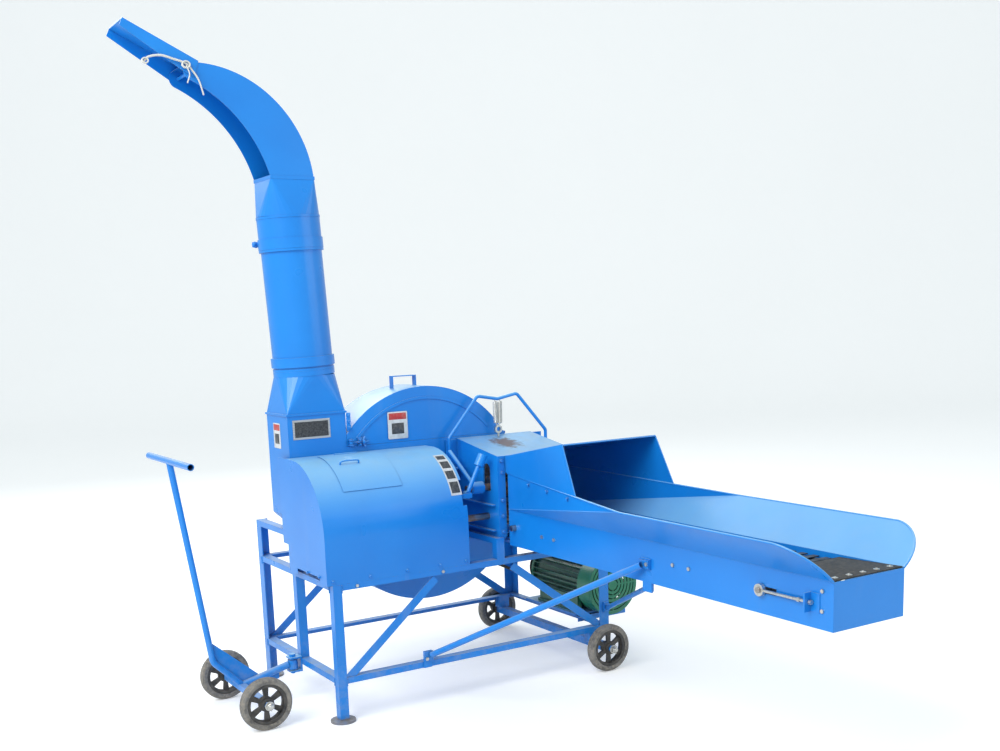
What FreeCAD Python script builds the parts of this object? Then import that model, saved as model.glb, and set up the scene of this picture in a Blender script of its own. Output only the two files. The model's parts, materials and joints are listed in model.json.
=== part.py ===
import FreeCAD, Part
import Sketcher
import math
import os
import re

# Disc-type chaff cutter: an angle-iron frame on four transport wheels carries a cutter drum with a
# throwing chute, a feed trough with a slat conveyor, a feed gearbox under a guard and an electric motor.
#
# Frame: origin on the floor under the front-left leg, +X along the frame towards the motor, +Y from
# the feed side to the back, +Z up. Millimetres.

SIZES = {
    # angle-iron frame
    "frame_left": -22, "frame_right": 1566, "frame_front": -22, "frame_back": 940,
    "leg": 45, "gauge": 5, "rail_drop": 30, "low_rail": 215, "top_rail": 665, "raised_rail": 854,
    "wide_leg": 60, "foot_radius": 60, "foot_plate": 10, "throat_rail": 772,
    "cradle_left": 195, "cradle_right": 1200,
    # transport wheels
    "wheel_radius": 125, "wheel_width": 50, "axle_radius": 12.5, "axle_gap": 0.05, "axle_x": 1470,
    "wheel_front": -140, "wheel_back": 980, "dolly_x": -332, "dolly_front": 116, "dolly_back": 694,
    "king_x": -62, "king_y": 448, "knee_x": -464, "knee_z": 270, "grip_x": -594, "grip_z": 1260,
    "handle_rod": 15, "knee_bend": 60, "grip_half": 325, "gusset": 6,
    # cutter drum, its shaft and the chute base
    "drum_x": 720, "drum_z": 973, "drum_radius": 557, "drum_front": 400, "drum_depth": 270, "plate": 4,
    "chute_left": -25, "chute_right": 279, "chute_top": 1430, "chute_foot": 932,
    "split_z": 1255, "split_gap": 1, "shaft_radius": 30, "bearing_radius": 62,
    "disc_radius": 500, "disc_front": 422, "disc_plate": 16, "blade_count": 3, "paddle_count": 6,
    # belt drive and motor
    "belt_plane": 752, "belt_count": 3, "belt_pitch": 20, "big_pulley": 200, "small_pulley": 100,
    "motor_x": 1690, "motor_z": 387, "motor_front": 100, "motor_body": 130, "cowl_radius": 165,
    "motor_shaft": 21,
    # feed gearbox and feed rollers
    "module": 6, "pinion_teeth": 18, "wheel_teeth": 54, "gear_face": 36, "gear_front": 302,
    "gear_x": 530.1, "feed_y": 100, "low_roller_z": 870, "top_roller_z": 1020, "roller_radius": 58,
    "feed_shaft": 17.5, "box_left": 440, "box_right": 650, "box_front": 0, "box_back": 205,
    "box_bottom": 700, "box_top": 976, "low_cross_teeth": 28, "top_cross_teeth": 22,
    # guard over the gearbox
    "guard_left": -50, "guard_right": 715, "guard_top": 1225, "guard_round": 340, "guard_back": 396,
    "sheet": 2, "hatch_left": 94, "hatch_right": 385, "hatch_front": 45,
    "hatch_middle": 240, "hinge_y": 338, "hinge_z": 1229.2,
    # throat
    "throat_left": 903, "throat_right": 1367, "throat_wall": 8, "throat_front": 0, "throat_back": 396,
    "throat_low": 1178, "throat_high": 1242, "bow_y": 350, "bow_rod": 9, "bow_half": 302,
    # feed trough and conveyor
    "trough_left": 950, "trough_right": 1321, "trough_back": -25, "trough_end": -2158,
    "trough_floor": 730, "bend_z": 913, "wing_out": 150, "wing_z": 1050, "wing_fold": -1130,
    "wing_root_z": 1095, "trough_skin": 3, "head_y": -78, "tail_y": -1808, "chain_z": 825,
    "sprocket_radius": 60, "slat_width": 30, "slat_pitch": 62, "hood_y": -630, "hood_z": 1290,
    # round chute and spout
    "tube_x": 133, "tube_y": 535, "tube_foot": 1617, "tube_radius": 150, "tube_lean": 27,
    "tube_top": 2222, "tube_wall": 3, "sleeve_top": 2370, "spout_half": 108, "spout_foot": 2545,
    "flap_x": -352, "flap_z": 2990,
}

doc = FreeCAD.newDocument("ChaffCutter")
sheet = doc.addObject("Spreadsheet::Sheet", "Sizes")
for row, (alias, number) in enumerate(SIZES.items(), start=1):
    sheet.set(f"A{row}", alias)
    sheet.set(f"B{row}", str(number))
    sheet.setAlias(f"B{row}", alias)
doc.recompute()

NODES = []
TURN = {
    "x": FreeCAD.Rotation(FreeCAD.Vector(0, 1, 0), 90),
    "y": FreeCAD.Rotation(FreeCAD.Vector(1, 0, 0), -90),
    "z": FreeCAD.Rotation(),
}
V = FreeCAD.Vector


def size(name):
    """A driving size, read back from the sheet."""
    return float(sheet.get(name))


def formula(text):
    """Point every size name in a formula at its cell of the sheet."""
    def cell(word):
        return "Sizes." + word.group() if word.group() in SIZES else word.group()
    return re.sub(r"[a-z_]+[a-z_0-9]*", cell, str(text))


def bind(thing, **formulas):
    """Bind properties to formulas over the sheet; two underscores stand for a dot."""
    for name, text in formulas.items():
        thing.setExpression(name.replace("__", "."), formula(text))


def place(thing, at, axis="z"):
    """Put a thing at a point given as three formulas, its own Z turned along a row axis."""
    thing.Placement = FreeCAD.Placement(V(), TURN[axis])
    bind(thing, Placement__Base__x=at[0], Placement__Base__y=at[1], Placement__Base__z=at[2])
    return thing


def box(at, dims):
    """A box from its lowest corner and its three side lengths."""
    solid = doc.addObject("Part::Box", "Box")
    bind(solid, Length=dims[0], Width=dims[1], Height=dims[2])
    return place(solid, at)


def span(low, high):
    """A box from its lowest and its highest corner."""
    return box(low, [f"({b}) - ({a})" for a, b in zip(low, high)])


def rod(at, axis, radius, length):
    """A round bar that starts at a point and runs along a row axis."""
    solid = doc.addObject("Part::Cylinder", "Rod")
    bind(solid, Radius=radius, Height=length)
    return place(solid, at, axis)


def hexagon(at, axis, radius, length):
    """A hexagonal bar, for nuts and bolt heads."""
    solid = doc.addObject("Part::Prism", "Hexagon")
    solid.Polygon = 6
    bind(solid, Circumradius=radius, Height=length)
    return place(solid, at, axis)


def fuse(*solids):
    joined = doc.addObject("Part::MultiFuse", "Fuse")
    joined.Shapes = list(solids)
    joined.Refine = True
    return joined


def cut(base, *tools):
    result = doc.addObject("Part::Cut", "Cut")
    result.Base = base
    result.Tool = tools[0] if len(tools) == 1 else fuse(*tools)
    result.Refine = True
    return result


def common(first, second):
    result = doc.addObject("Part::Common", "Common")
    result.Base = first
    result.Tool = second
    result.Refine = True
    return result


def group(*solids):
    """Separate solids kept in one node."""
    bundle = doc.addObject("Part::Compound", "Group")
    bundle.Links = list(solids)
    return bundle


def ring(at, axis, outer, inner, length):
    """A round tube or washer."""
    return cut(rod(at, axis, outer, length), rod(at, axis, inner, length))


def shaped(shape):
    """A piece whose form is worked out in code from the sheet."""
    piece = doc.addObject("Part::Feature", "Shaped")
    piece.Shape = shape
    piece.Placement = shape.Placement
    return piece


def node(label, thing):
    """Name a finished piece and list it for export."""
    thing.Label = label
    NODES.append(thing)
    return thing


def origin_plane(body, role):
    for plane in body.Origin.OriginFeatures:
        if plane.Role == role:
            return plane


def sketch_outline(body, role, points):
    """A closed outline of straight lines, each corner bound to two formulas from the origin."""
    sketch = body.newObject("Sketcher::SketchObject", "Outline")
    sketch.AttachmentSupport = [(origin_plane(body, role), "")]
    sketch.MapMode = "FlatFace"
    count = len(points)
    start = [V(10 * math.cos(math.tau * k / count), 10 * math.sin(math.tau * k / count), 0)
             for k in range(count)]
    for k in range(count):
        sketch.addGeometry(Part.LineSegment(start[k], start[(k + 1) % count]), False)
    for k in range(count):
        sketch.addConstraint(Sketcher.Constraint("Coincident", k, 2, (k + 1) % count, 1))
    for k, (across, up) in enumerate(points):
        for kind, number, text in (("DistanceX", start[k].x, across), ("DistanceY", start[k].y, up)):
            index = sketch.addConstraint(Sketcher.Constraint(kind, -1, 1, k, 1, number))
            sketch.setExpression(f"Constraints[{index}]", formula(text))
    return sketch


def turned(points, at=("0", "0", "0"), axis="z"):
    """A revolved body. Points are (radius, distance along the axis) formulas."""
    body = doc.addObject("PartDesign::Body", "Turned")
    sketch = sketch_outline(body, "XZ_Plane", points)
    spin = body.newObject("PartDesign::Revolution", "Revolution")
    spin.Profile = sketch
    spin.ReferenceAxis = (sketch, ["V_Axis"])
    spin.Angle = 360
    body.Tip = spin
    sketch.Visibility = False
    return place(body, at, axis)


def padded(points, length, at=("0", "0", "0"), axis="z"):
    """A flat outline on the body's own XY plane, padded along its Z."""
    body = doc.addObject("PartDesign::Body", "Padded")
    sketch = sketch_outline(body, "XY_Plane", points)
    pad = body.newObject("PartDesign::Pad", "Pad")
    pad.Profile = sketch
    bind(pad, Length=length)
    body.Tip = pad
    return place(body, at, axis)


def ring_pattern(body, feature, role_axis, count):
    """Repeat a feature of a body around one of the body's own axes."""
    pattern = body.newObject("PartDesign::PolarPattern", "Pattern")
    pattern.Originals = [feature]
    pattern.Axis = (origin_plane(body, role_axis), [""])
    pattern.Angle = 360
    bind(pattern, Occurrences=count)
    body.Tip = pattern
    return pattern


def steps(*pairs):
    """The profile of a stepped shaft: (radius, from, to) stretches, in order along the axis."""
    points = [("0", pairs[0][1])]
    for radius, low, high in pairs:
        points += [(radius, low), (radius, high)]
    return points + [("0", pairs[-1][2])]


def bar_between(start, end, radius):
    """A round bar between two points."""
    run = end - start
    return Part.makeCylinder(radius, run.Length, start, run)


def tube_between(start, end, outer, inner):
    return bar_between(start, end, outer).cut(bar_between(start, end, inner))


def sheet_plate(points, thickness, toward):
    """A flat plate: a planar outline thickened towards a direction."""
    face = Part.Face(Part.makePolygon(points + [points[0]]))
    return face.extrude(V(toward).normalize() * thickness)


def swept(points, radius, bend):
    """A round rod along a path whose corners are rounded."""
    edges = []
    start = points[0]
    for before, corner, after in zip(points, points[1:], points[2:]):
        back = (before - corner).normalize()
        ahead = (after - corner).normalize()
        half = back.getAngle(ahead) / 2
        reach = bend / math.tan(half)
        middle = corner + (back + ahead).normalize() * (bend / math.sin(half) - bend)
        edges.append(Part.LineSegment(start, corner + back * reach).toShape())
        edges.append(Part.Arc(corner + back * reach, middle, corner + ahead * reach).toShape())
        start = corner + ahead * reach
    edges.append(Part.LineSegment(start, points[-1]).toShape())
    path = Part.Wire(edges)
    circle = Part.Wire(Part.makeCircle(radius, points[0], points[1] - points[0]))
    return path.makePipeShell([circle], True, False)


# ---------------------------------------------------------------------------------- frame

def angle_x(x0, x1, outer, inward, top):
    """A frame rail along X: an upright face on the outside and a flat top leg."""
    if inward > 0:
        upright = span([x0, outer, f"{top} - rail_drop"], [x1, f"{outer} + gauge", top])
        flat = span([x0, outer, f"{top} - gauge"], [x1, f"{outer} + leg", top])
    else:
        upright = span([x0, f"{outer} - gauge", f"{top} - rail_drop"], [x1, outer, top])
        flat = span([x0, f"{outer} - leg", f"{top} - gauge"], [x1, outer, top])
    return [upright, flat]


def angle_y(outer, inward, top, y0="frame_front", y1="frame_back"):
    """A frame rail along Y."""
    if inward > 0:
        upright = span([outer, y0, f"{top} - rail_drop"], [f"{outer} + gauge", y1, top])
        flat = span([outer, y0, f"{top} - gauge"], [f"{outer} + leg", y1, top])
    else:
        upright = span([f"{outer} - gauge", y0, f"{top} - rail_drop"], [outer, y1, top])
        flat = span([f"{outer} - leg", y0, f"{top} - gauge"], [outer, y1, top])
    return [upright, flat]


def post(x, x_in, y, y_in, width, z0, z1):
    """An upright angle: its corner at (x, y), its legs running inward."""
    def leg_span(edge, inward, amount):
        return (edge, f"{edge} + {amount}") if inward > 0 else (f"{edge} - {amount}", edge)
    wide_x = leg_span(x, x_in, width)
    wide_y = leg_span(y, y_in, width)
    thin_x = leg_span(x, x_in, "gauge")
    thin_y = leg_span(y, y_in, "gauge")
    return [
        span([wide_x[0], thin_y[0], z0], [wide_x[1], thin_y[1], z1]),
        span([thin_x[0], wide_y[0], z0], [thin_x[1], wide_y[1], z1]),
    ]


def diagonal(start, end, width):
    """A flat-bar brace in the XZ plane between two points of its lower edge."""
    side = (end - start).cross(V(0, 1, 0)).normalize() * -width
    return sheet_plate([start, end, end + side, start + side], size("gauge"), V(0, 1, 0))


def main_frame():
    left, right, front, back = "frame_left", "frame_right", "frame_front", "frame_back"
    bars = []
    bars += post(left, 1, front, 1, "leg", "foot_plate", "top_rail")
    bars += post(left, 1, back, -1, "wide_leg", "foot_plate", "raised_rail")
    bars += post(left, 1, "430", 1, "leg", "low_rail - gauge", "raised_rail")
    bars += post(right, -1, front, 1, "wide_leg", "low_rail - rail_drop", "top_rail")
    bars += post(right, -1, back, -1, "wide_leg", "low_rail - rail_drop", "top_rail")
    for level in ("low_rail", "top_rail"):
        bars += angle_x(left, right, front, 1, level)
        bars += angle_x(left, right, back, -1, level)
        bars += angle_y(left, 1, level)
        bars += angle_y(right, -1, level)
    bars += angle_y(left, 1, "raised_rail", "430", back)
    bars += angle_y("cradle_left", 1, "top_rail")
    bars += angle_y("cradle_right + leg", -1, "top_rail")
    for outer, inward in (("874", 1), ("1394", -1)):
        bars += angle_y(outer, inward, "throat_rail", front, "390")
        bars += post(outer, inward, front, 1, "leg", "top_rail - gauge", "throat_rail")
        bars += post(outer, inward, "390", -1, "leg", "throat_rail - 60", "throat_rail")
    bars += [span(["849", "345", "throat_rail - 60"], ["1419", "390", "throat_rail - 55"])]
    for y in ("200", "560"):
        bars += angle_x("frame_right - leg", "1850", y, 1, "low_rail")
    for y0, y1 in ((front, f"{front} + leg"), (f"{back} - leg", back)):
        bars.append(span(["axle_x - 35", y0, "145"], ["axle_x + 35", y1, "low_rail - gauge"]))
    for y in ("0", "918"):
        bars.append(rod(["0", y, "0"], "z", "foot_radius", "foot_plate"))
    low = size("low_rail")
    top = size("top_rail") - size("rail_drop")
    steel = size("gauge")
    for y in (size("frame_front") + steel, size("frame_back") - 2 * steel):
        bars.append(shaped(diagonal(V(10, y, low), V(510, y, top), 40)))
        bars.append(shaped(diagonal(V(1540, y, low), V(975, y, top), -40)))
    return fuse(*bars)


node("main_frame", main_frame())
node("axle_beam", fuse(
    span(["axle_x - 20", "-110", "105"], ["axle_x + 20", "950", "145"]),
    rod(["axle_x", "wheel_front - 34", "wheel_radius"], "y", "axle_radius", "40"),
    rod(["axle_x", "wheel_back - 34", "wheel_radius"], "y", "axle_radius", "76"),
    rod(["axle_x", "wheel_front - 48", "wheel_radius"], "y", "axle_radius", "80"),
    hexagon(["axle_x", "wheel_front - 46", "wheel_radius"], "y", "20", "14"),
    hexagon(["axle_x", "wheel_back + 32", "wheel_radius"], "y", "20", "14"),
))


# ---------------------------------------------------------------------------------- wheels

def wheel_centre(x, y):
    """A cast centre: hub, rim and a web opened into six spokes."""
    bore = "axle_radius + axle_gap"
    body = turned([
        (bore, "-30"), ("30", "-30"), ("26", "-9"), ("82", "-6"), ("82", "-20"), ("97", "-20"),
        ("97", "20"), ("82", "20"), ("82", "6"), ("26", "9"), ("30", "30"), (bore, "30"),
    ], (x, y, "wheel_radius"), "y")
    window = sketch_outline(body, "XY_Plane",
                            [("36", "-10"), ("76", "-27"), ("80", "0"), ("76", "27"), ("36", "10")])
    pocket = body.newObject("PartDesign::Pocket", "Window")
    pocket.Profile = window
    pocket.Midplane = True
    pocket.Length = 60
    ring_pattern(body, pocket, "Z_Axis", "6")
    return body


def tyre(x, y):
    """A solid rubber tyre with rounded shoulders."""
    half = "wheel_width / 2"
    return turned([
        ("97.02", f"-{half} + 3"), ("113", f"-{half}"), ("121", f"-{half} + 4"), ("wheel_radius",
                                                                                  f"-{half} + 14"),
        ("wheel_radius", f"{half} - 14"), ("121", f"{half} - 4"), ("113", half), ("97.02", f"{half} - 3"),
    ], (x, y, "wheel_radius"), "y")


for place_name, wheel_x, wheel_y in (
    ("front_right", "axle_x", "wheel_front"), ("rear_right", "axle_x", "wheel_back"),
    ("front_left", "dolly_x", "dolly_front"), ("rear_left", "dolly_x", "dolly_back"),
):
    node(f"{place_name}_wheel_centre", wheel_centre(wheel_x, wheel_y))
    node(f"{place_name}_tyre", tyre(wheel_x, wheel_y))


# ---------------------------------------------------------------------------------- dolly

node("hitch_bracket", fuse(
    span(["king_x - 22", "king_y - 30", "218"], ["frame_left", "king_y + 30", "226"]),
    span(["king_x - 22", "king_y - 30", "150"], ["frame_left", "king_y + 30", "158"]),
    span(["frame_left - 6", "king_y - 30", "150"], ["frame_left", "king_y + 30", "226"]),
    rod(["king_x", "king_y", "140"], "z", "10", "100"),
    hexagon(["king_x", "king_y", "226"], "z", "17", "14"),
))


def dolly_axle():
    """The square axle bar with its turned ends and end nuts."""
    return [
        span(["dolly_x - 16", "dolly_front + 34", "wheel_radius - 16"],
             ["dolly_x + 16", "dolly_back - 34", "wheel_radius + 16"]),
        rod(["dolly_x", "dolly_front - 48", "wheel_radius"], "y", "axle_radius", "674"),
        hexagon(["dolly_x", "dolly_front - 46", "wheel_radius"], "y", "20", "14"),
        hexagon(["dolly_x", "dolly_back + 32", "wheel_radius"], "y", "20", "14"),
    ]


def tow_handle():
    """The bent handle tube that rises from the axle, and its T grip."""
    foot = V(size("dolly_x") + 6, size("king_y"), size("wheel_radius") + 6)
    knee = V(size("knee_x"), size("king_y"), size("knee_z"))
    top = V(size("grip_x"), size("king_y"), size("grip_z"))
    side = V(0, size("grip_half"), 0)
    stem = swept([foot, knee, top], size("handle_rod"), size("knee_bend"))
    return [stem, tube_between(top - side, top + side, 16, 13)]


def dolly_gussets(drawbar_foot, drawbar_end):
    """The plate that stiffens the handle's knee, and the one under the drawbar."""
    y, axle_x, axle_z = size("king_y") + 4, size("dolly_x"), size("wheel_radius")
    knee_x, knee_z = size("knee_x"), size("knee_z")
    upright = (size("grip_z") - knee_z) / (size("grip_x") - knee_x)
    brace_top = V(knee_x + 110 / upright, y, knee_z + 110)
    crest = drawbar_foot + (drawbar_end - drawbar_foot) * 0.42
    knee_outline = [brace_top, V(knee_x, y, knee_z), V(axle_x, y, axle_z + 5), V(crest.x, y, crest.z + 4)]
    lower = drawbar_foot + (drawbar_end - drawbar_foot) * 0.80
    draw_outline = [V(axle_x, y, axle_z + 5), V(axle_x + 30, y, axle_z - 12), V(lower.x, y, axle_z + 2),
                    V(lower.x, y, lower.z)]
    return [sheet_plate(outline, size("gusset"), V(0, 1, 0)) for outline in (knee_outline, draw_outline)]


def dolly_frame():
    """The welded tow dolly: axle, drawbar with its king-pin eye, gussets and tow handle."""
    king = V(size("king_x"), size("king_y"), 0)
    drawbar_foot, drawbar_end = V(size("dolly_x"), king.y, 130), V(king.x - 24, king.y, 188)
    eye = ring(["king_x", "king_y", "164"], "z", "25", "10.05", "48")
    shapes = [tube_between(drawbar_foot, drawbar_end, 18, 14)] + tow_handle()
    shapes += dolly_gussets(drawbar_foot, drawbar_end)
    return fuse(*dolly_axle(), eye, *[shaped(shape) for shape in shapes])


node("dolly_frame", dolly_frame())


# ---------------------------------------------------------------------------------- cutter drum

def drum_volume(skin, low_y, high_y, chute_top):
    """The drum with its tangent chute base, drawn in by a skin thickness."""
    tangent = 225
    reach = size("drum_radius")
    lip = V(size("drum_x") + reach * math.cos(math.radians(tangent)), 0,
            size("drum_z") + reach * math.sin(math.radians(tangent)))
    wedge = padded([
        (f"{lip.x:.3f} + {skin} * 0.7071", f"{lip.z:.3f} + {skin} * 0.7071"),
        ("drum_x", "drum_z"), ("drum_x", "drum_z + 300"), (f"chute_left + {skin}", "drum_z + 300"),
        (f"chute_left + {skin}", "chute_foot"),
    ], f"({high_y}) - ({low_y})")
    wedge.Placement = FreeCAD.Placement(V(), FreeCAD.Rotation(V(1, 0, 0), 90))
    bind(wedge, Placement__Base__y=high_y)
    return fuse(
        rod(["drum_x", low_y, "drum_z"], "y", f"drum_radius - {skin}", f"({high_y}) - ({low_y})"),
        wedge,
        span([f"chute_left + {skin}", low_y, "chute_foot"], [f"chute_right - {skin}", high_y, chute_top]),
    )


def drum_shell():
    """The hollow sheet-steel drum, before it is split into housing and cover."""
    back = "drum_front + drum_depth"
    outer = drum_volume("0", "drum_front", back, "chute_top")
    inner = drum_volume("plate", "drum_front + plate", f"{back} - plate", "chute_top + 10")
    return cut(outer, inner)


def cover_zone(gap):
    """The space above the split line and right of the chute."""
    return span([f"chute_right + {gap}", "drum_front - 20", f"split_z + {gap}"],
                ["drum_x + drum_radius + 60", "drum_front + drum_depth + 20", "drum_z + drum_radius + 60"])


def cutter_housing():
    shell = cut(drum_shell(), cover_zone("0"))
    shell = cut(
        shell,
        rod(["drum_x", "drum_front - 20", "drum_z"], "y", "shaft_radius + 8", "drum_depth + 40"),
        span(["throat_left + 50", "drum_front - 20", "905"],
             ["throat_right - 92", "drum_front + 20", "1190"]),
    )
    lugs = []
    for x0, x1 in (("cradle_left", "cradle_left + 75"), ("cradle_right - 30", "cradle_right + leg")):
        for y in ("drum_front + 20", "drum_front + 190"):
            lugs.append(span([x0, y, "top_rail"], [x1, f"{y} + 50", "top_rail + 8"]))
    lugs.append(span(["cradle_left", "drum_front + 20", "top_rail"],
                     ["cradle_left + 8", "drum_front + 240", "top_rail + 70"]))
    lugs.append(span(["cradle_right + leg - 8", "drum_front + 20", "top_rail"],
                     ["cradle_right + leg", "drum_front + 240", "top_rail + 200"]))
    drum_inside = rod(["drum_x", "drum_front", "drum_z"], "y", "drum_radius - plate", "drum_depth")
    lugs = cut(fuse(*lugs), drum_inside)
    flange = cut(
        span(["chute_left - 6", "drum_front - 6", "chute_top - 5"],
             ["chute_right + 6", "drum_front + drum_depth + 6", "chute_top"]),
        span(["chute_left", "drum_front", "chute_top - 6"],
             ["chute_right", "drum_front + drum_depth", "chute_top + 1"]),
    )
    hinge_x = "drum_x + 483 + 16"
    knuckles = [rod([hinge_x, y, "split_z - 4"], "y", "9", "40")
                for y in ("drum_front + 30", "drum_front + 200")]
    knuckles.append(rod([hinge_x, "drum_front + 30", "split_z - 4"], "y", "4.95", "200"))
    leaves = [span(["drum_x + 484", y, "split_z - 18"], ["drum_x + 505", f"{y} + 40", "split_z - 8"])
              for y in ("drum_front + 30", "drum_front + 200")]
    return fuse(shell, lugs, flange, *leaves, *knuckles)


def housing_cover():
    shell = common(drum_shell(), cover_zone("split_gap"))
    band = "drum_radius"
    raised = common(
        ring(["drum_x", "drum_front - 5", "drum_z"], "y", f"{band} - 52", f"{band} - 66", "5"),
        cover_zone("split_gap + 40"),
    )
    strap_left, strap_top = "drum_x - 113", "drum_z + drum_radius + 54"
    strap = span([strap_left, "drum_front + 117", "drum_z + drum_radius - 20"],
                 [f"{strap_left} + 138", "drum_front + 153", strap_top])
    grip_space = span([f"{strap_left} + 5", "drum_front + 110", "drum_z + drum_radius - 30"],
                      [f"{strap_left} + 133", "drum_front + 160", f"{strap_top} - 5"])
    drum_inside = rod(["drum_x", "drum_front", "drum_z"], "y", "drum_radius - plate", "drum_depth")
    lift = cut(strap, grip_space, drum_inside)
    knuckle = rod(["drum_x + 499", "drum_front + 90", "split_z - 4"], "y", "9", "90")
    tab = span(["drum_x + 476", "drum_front + 90", "split_z + 1.2"],
               ["drum_x + 499", "drum_front + 180", "split_z + 8"])
    hinge = cut(fuse(knuckle, tab),
                rod(["drum_x + 499", "drum_front + 80", "split_z - 4"], "y", "5.02", "110"))
    return fuse(shell, raised, lift, hinge)


node("cutter_housing", cutter_housing())
node("housing_cover", housing_cover())


def flanged_bearing(y, face):
    """A square-flanged bearing housing; the bore clears the shaft."""
    bore = "shaft_radius + 0.05"
    return cut(
        fuse(
            span(["drum_x - 75", y, "drum_z - 75"], ["drum_x + 75", f"{y} + 14", "drum_z + 75"]),
            rod(["drum_x", f"{y} - {face}", "drum_z"], "y", "bearing_radius", "44"),
        ),
        rod(["drum_x", f"{y} - 60", "drum_z"], "y", bore, "140"),
    )


node("front_bearing", flanged_bearing("drum_front - 14", "30"))
node("rear_bearing", flanged_bearing("drum_front + drum_depth", "0"))
node("main_shaft", turned(steps(
    ("24.9", "gear_front - 22", "345"), ("shaft_radius", "345", "belt_plane + 42"),
), ("drum_x", "0", "drum_z"), "y"))


def cutter_disc():
    """The flywheel: a hub, a thick disc and pockets that lighten it."""
    body = turned([
        ("shaft_radius + 0.05", "0"), ("70", "0"), ("70", "20"), ("disc_radius", "20"),
        ("disc_radius", "20 + disc_plate"), ("85", "20 + disc_plate"), ("70", "150"),
        ("shaft_radius + 0.05", "150"),
    ], ("drum_x", "disc_front", "drum_z"), "y")
    window = sketch_outline(body, "XY_Plane",
                            [("140", "-40"), ("270", "-75"), ("270", "75"), ("140", "40")])
    pocket = body.newObject("PartDesign::Pocket", "Window")
    pocket.Profile = window
    pocket.Midplane = True
    pocket.Length = 160
    ring_pattern(body, pocket, "Z_Axis", "blade_count")
    return body


def around_disc(solid_maker, count, start=0):
    """Copies of one solid around the main shaft."""
    solids = []
    centre = V(size("drum_x"), 0, size("drum_z"))
    for k in range(int(count)):
        solid = solid_maker()
        solid.rotate(centre, V(0, 1, 0), start + 360 * k / count)
        solids.append(solid)
    return shaped(Part.makeCompound(solids))


def blade():
    """A straight chopping knife with a ground front edge."""
    x, z, y = size("drum_x"), size("drum_z"), size("disc_front") + 20
    edge = [V(x + 190, y, z - 10), V(x + 190, y, z + 80), V(x + 190, y - 10, z + 80),
            V(x + 190, y - 10, z + 12)]
    return Part.Face(Part.makePolygon(edge + [edge[0]])).extrude(V(300, 0, 0))


def paddle():
    """A throwing paddle on the back of the disc."""
    x, z = size("drum_x"), size("drum_z")
    y = size("disc_front") + 20 + size("disc_plate")
    plate = Part.makeBox(230, 150, 8, V(x + 300, y, z - 4))
    foot = Part.makeBox(230, 8, 40, V(x + 300, y, z + 4))
    return plate.fuse(foot)


node("cutter_disc", cutter_disc())
node("blades", around_disc(blade, size("blade_count"), 60))
node("throwing_paddles", around_disc(paddle, size("paddle_count"), 30))


# ---------------------------------------------------------------------------------- belt drive

def grooved_pulley(radius, bore, x, z):
    """A cast pulley with a vee groove for each belt."""
    half = "belt_count * belt_pitch / 2 + 4"
    points = [(bore, f"-({half})"), (radius, f"-({half})")]
    for k in range(int(size("belt_count"))):
        middle = f"({k} - (belt_count - 1) / 2) * belt_pitch"
        points += [(radius, f"{middle} - 8.2"), (f"{radius} - 15", f"{middle} - 4.8"),
                   (f"{radius} - 15", f"{middle} + 4.8"), (radius, f"{middle} + 8.2")]
    points += [(radius, half), (bore, half)]
    return turned(points, (x, "belt_plane", z), "y")


def main_pulley():
    """The big pulley, its web opened by round holes."""
    body = grooved_pulley("big_pulley", "shaft_radius + 0.05", "drum_x", "drum_z")
    window = sketch_outline(body, "XY_Plane",
                            [("62", "-22"), ("140", "-55"), ("155", "0"), ("140", "55"), ("62", "22")])
    pocket = body.newObject("PartDesign::Pocket", "Window")
    pocket.Profile = window
    pocket.Midplane = True
    pocket.Length = 200
    ring_pattern(body, pocket, "Z_Axis", "5")
    return body


def vee_belt(middle):
    """One belt: a vee section carried round both pulleys, clear of the groove walls."""
    big = V(size("drum_x"), 0, size("drum_z"))
    small = V(size("motor_x"), 0, size("motor_z"))
    line = small - big
    tilt = math.degrees(math.atan2(line.z, line.x))
    spread = math.degrees(math.acos((size("big_pulley") - size("small_pulley")) / line.Length))

    def on_circle(centre, radius, degrees):
        angle = math.radians(degrees)
        return centre + V(math.cos(angle), 0, math.sin(angle)) * radius

    def loop(inset, y):
        shift = V(0, y, 0)
        big_r = size("big_pulley") - inset
        small_r = size("small_pulley") - inset
        up, down = tilt + spread, tilt - spread
        arc_big = Part.Arc(on_circle(big, big_r, up) + shift, on_circle(big, big_r, tilt + 180) + shift,
                           on_circle(big, big_r, down) + shift).toShape()
        arc_small = Part.Arc(on_circle(small, small_r, down) + shift,
                             on_circle(small, small_r, tilt) + shift,
                             on_circle(small, small_r, up) + shift).toShape()
        run_low = Part.LineSegment(on_circle(big, big_r, down) + shift,
                                   on_circle(small, small_r, down) + shift)
        run_high = Part.LineSegment(on_circle(small, small_r, up) + shift,
                                    on_circle(big, big_r, up) + shift)
        return Part.Wire([arc_big, run_low.toShape(), arc_small, run_high.toShape()])

    def slab(inset, half):
        return loop(inset, middle - half), loop(inset, middle + half)

    outer_low, outer_high = slab(-1, 7.6)
    inner_low, inner_high = slab(13.5, 4.4)

    def side(first, second):
        return Part.makeRuledSurface(first, second)

    faces = []
    for pair in ((outer_low, outer_high), (inner_low, inner_high), (outer_low, inner_low),
                 (outer_high, inner_high)):
        faces += side(*pair).Faces
    shell = Part.makeShell(faces)
    shell.sewShape()
    solid = Part.makeSolid(Part.Shell(shell.Faces))
    if solid.Volume < 0:
        solid.reverse()
    return solid


def vee_belts():
    count = int(size("belt_count"))
    middles = [size("belt_plane") + (k - (count - 1) / 2) * size("belt_pitch") for k in range(count)]
    return shaped(Part.makeCompound([vee_belt(middle) for middle in middles]))


node("main_pulley", main_pulley())
node("motor_pulley", grooved_pulley("small_pulley", "motor_shaft + 0.05", "motor_x", "motor_z"))
node("v_belts", vee_belts())


# ---------------------------------------------------------------------------------- motor

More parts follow.
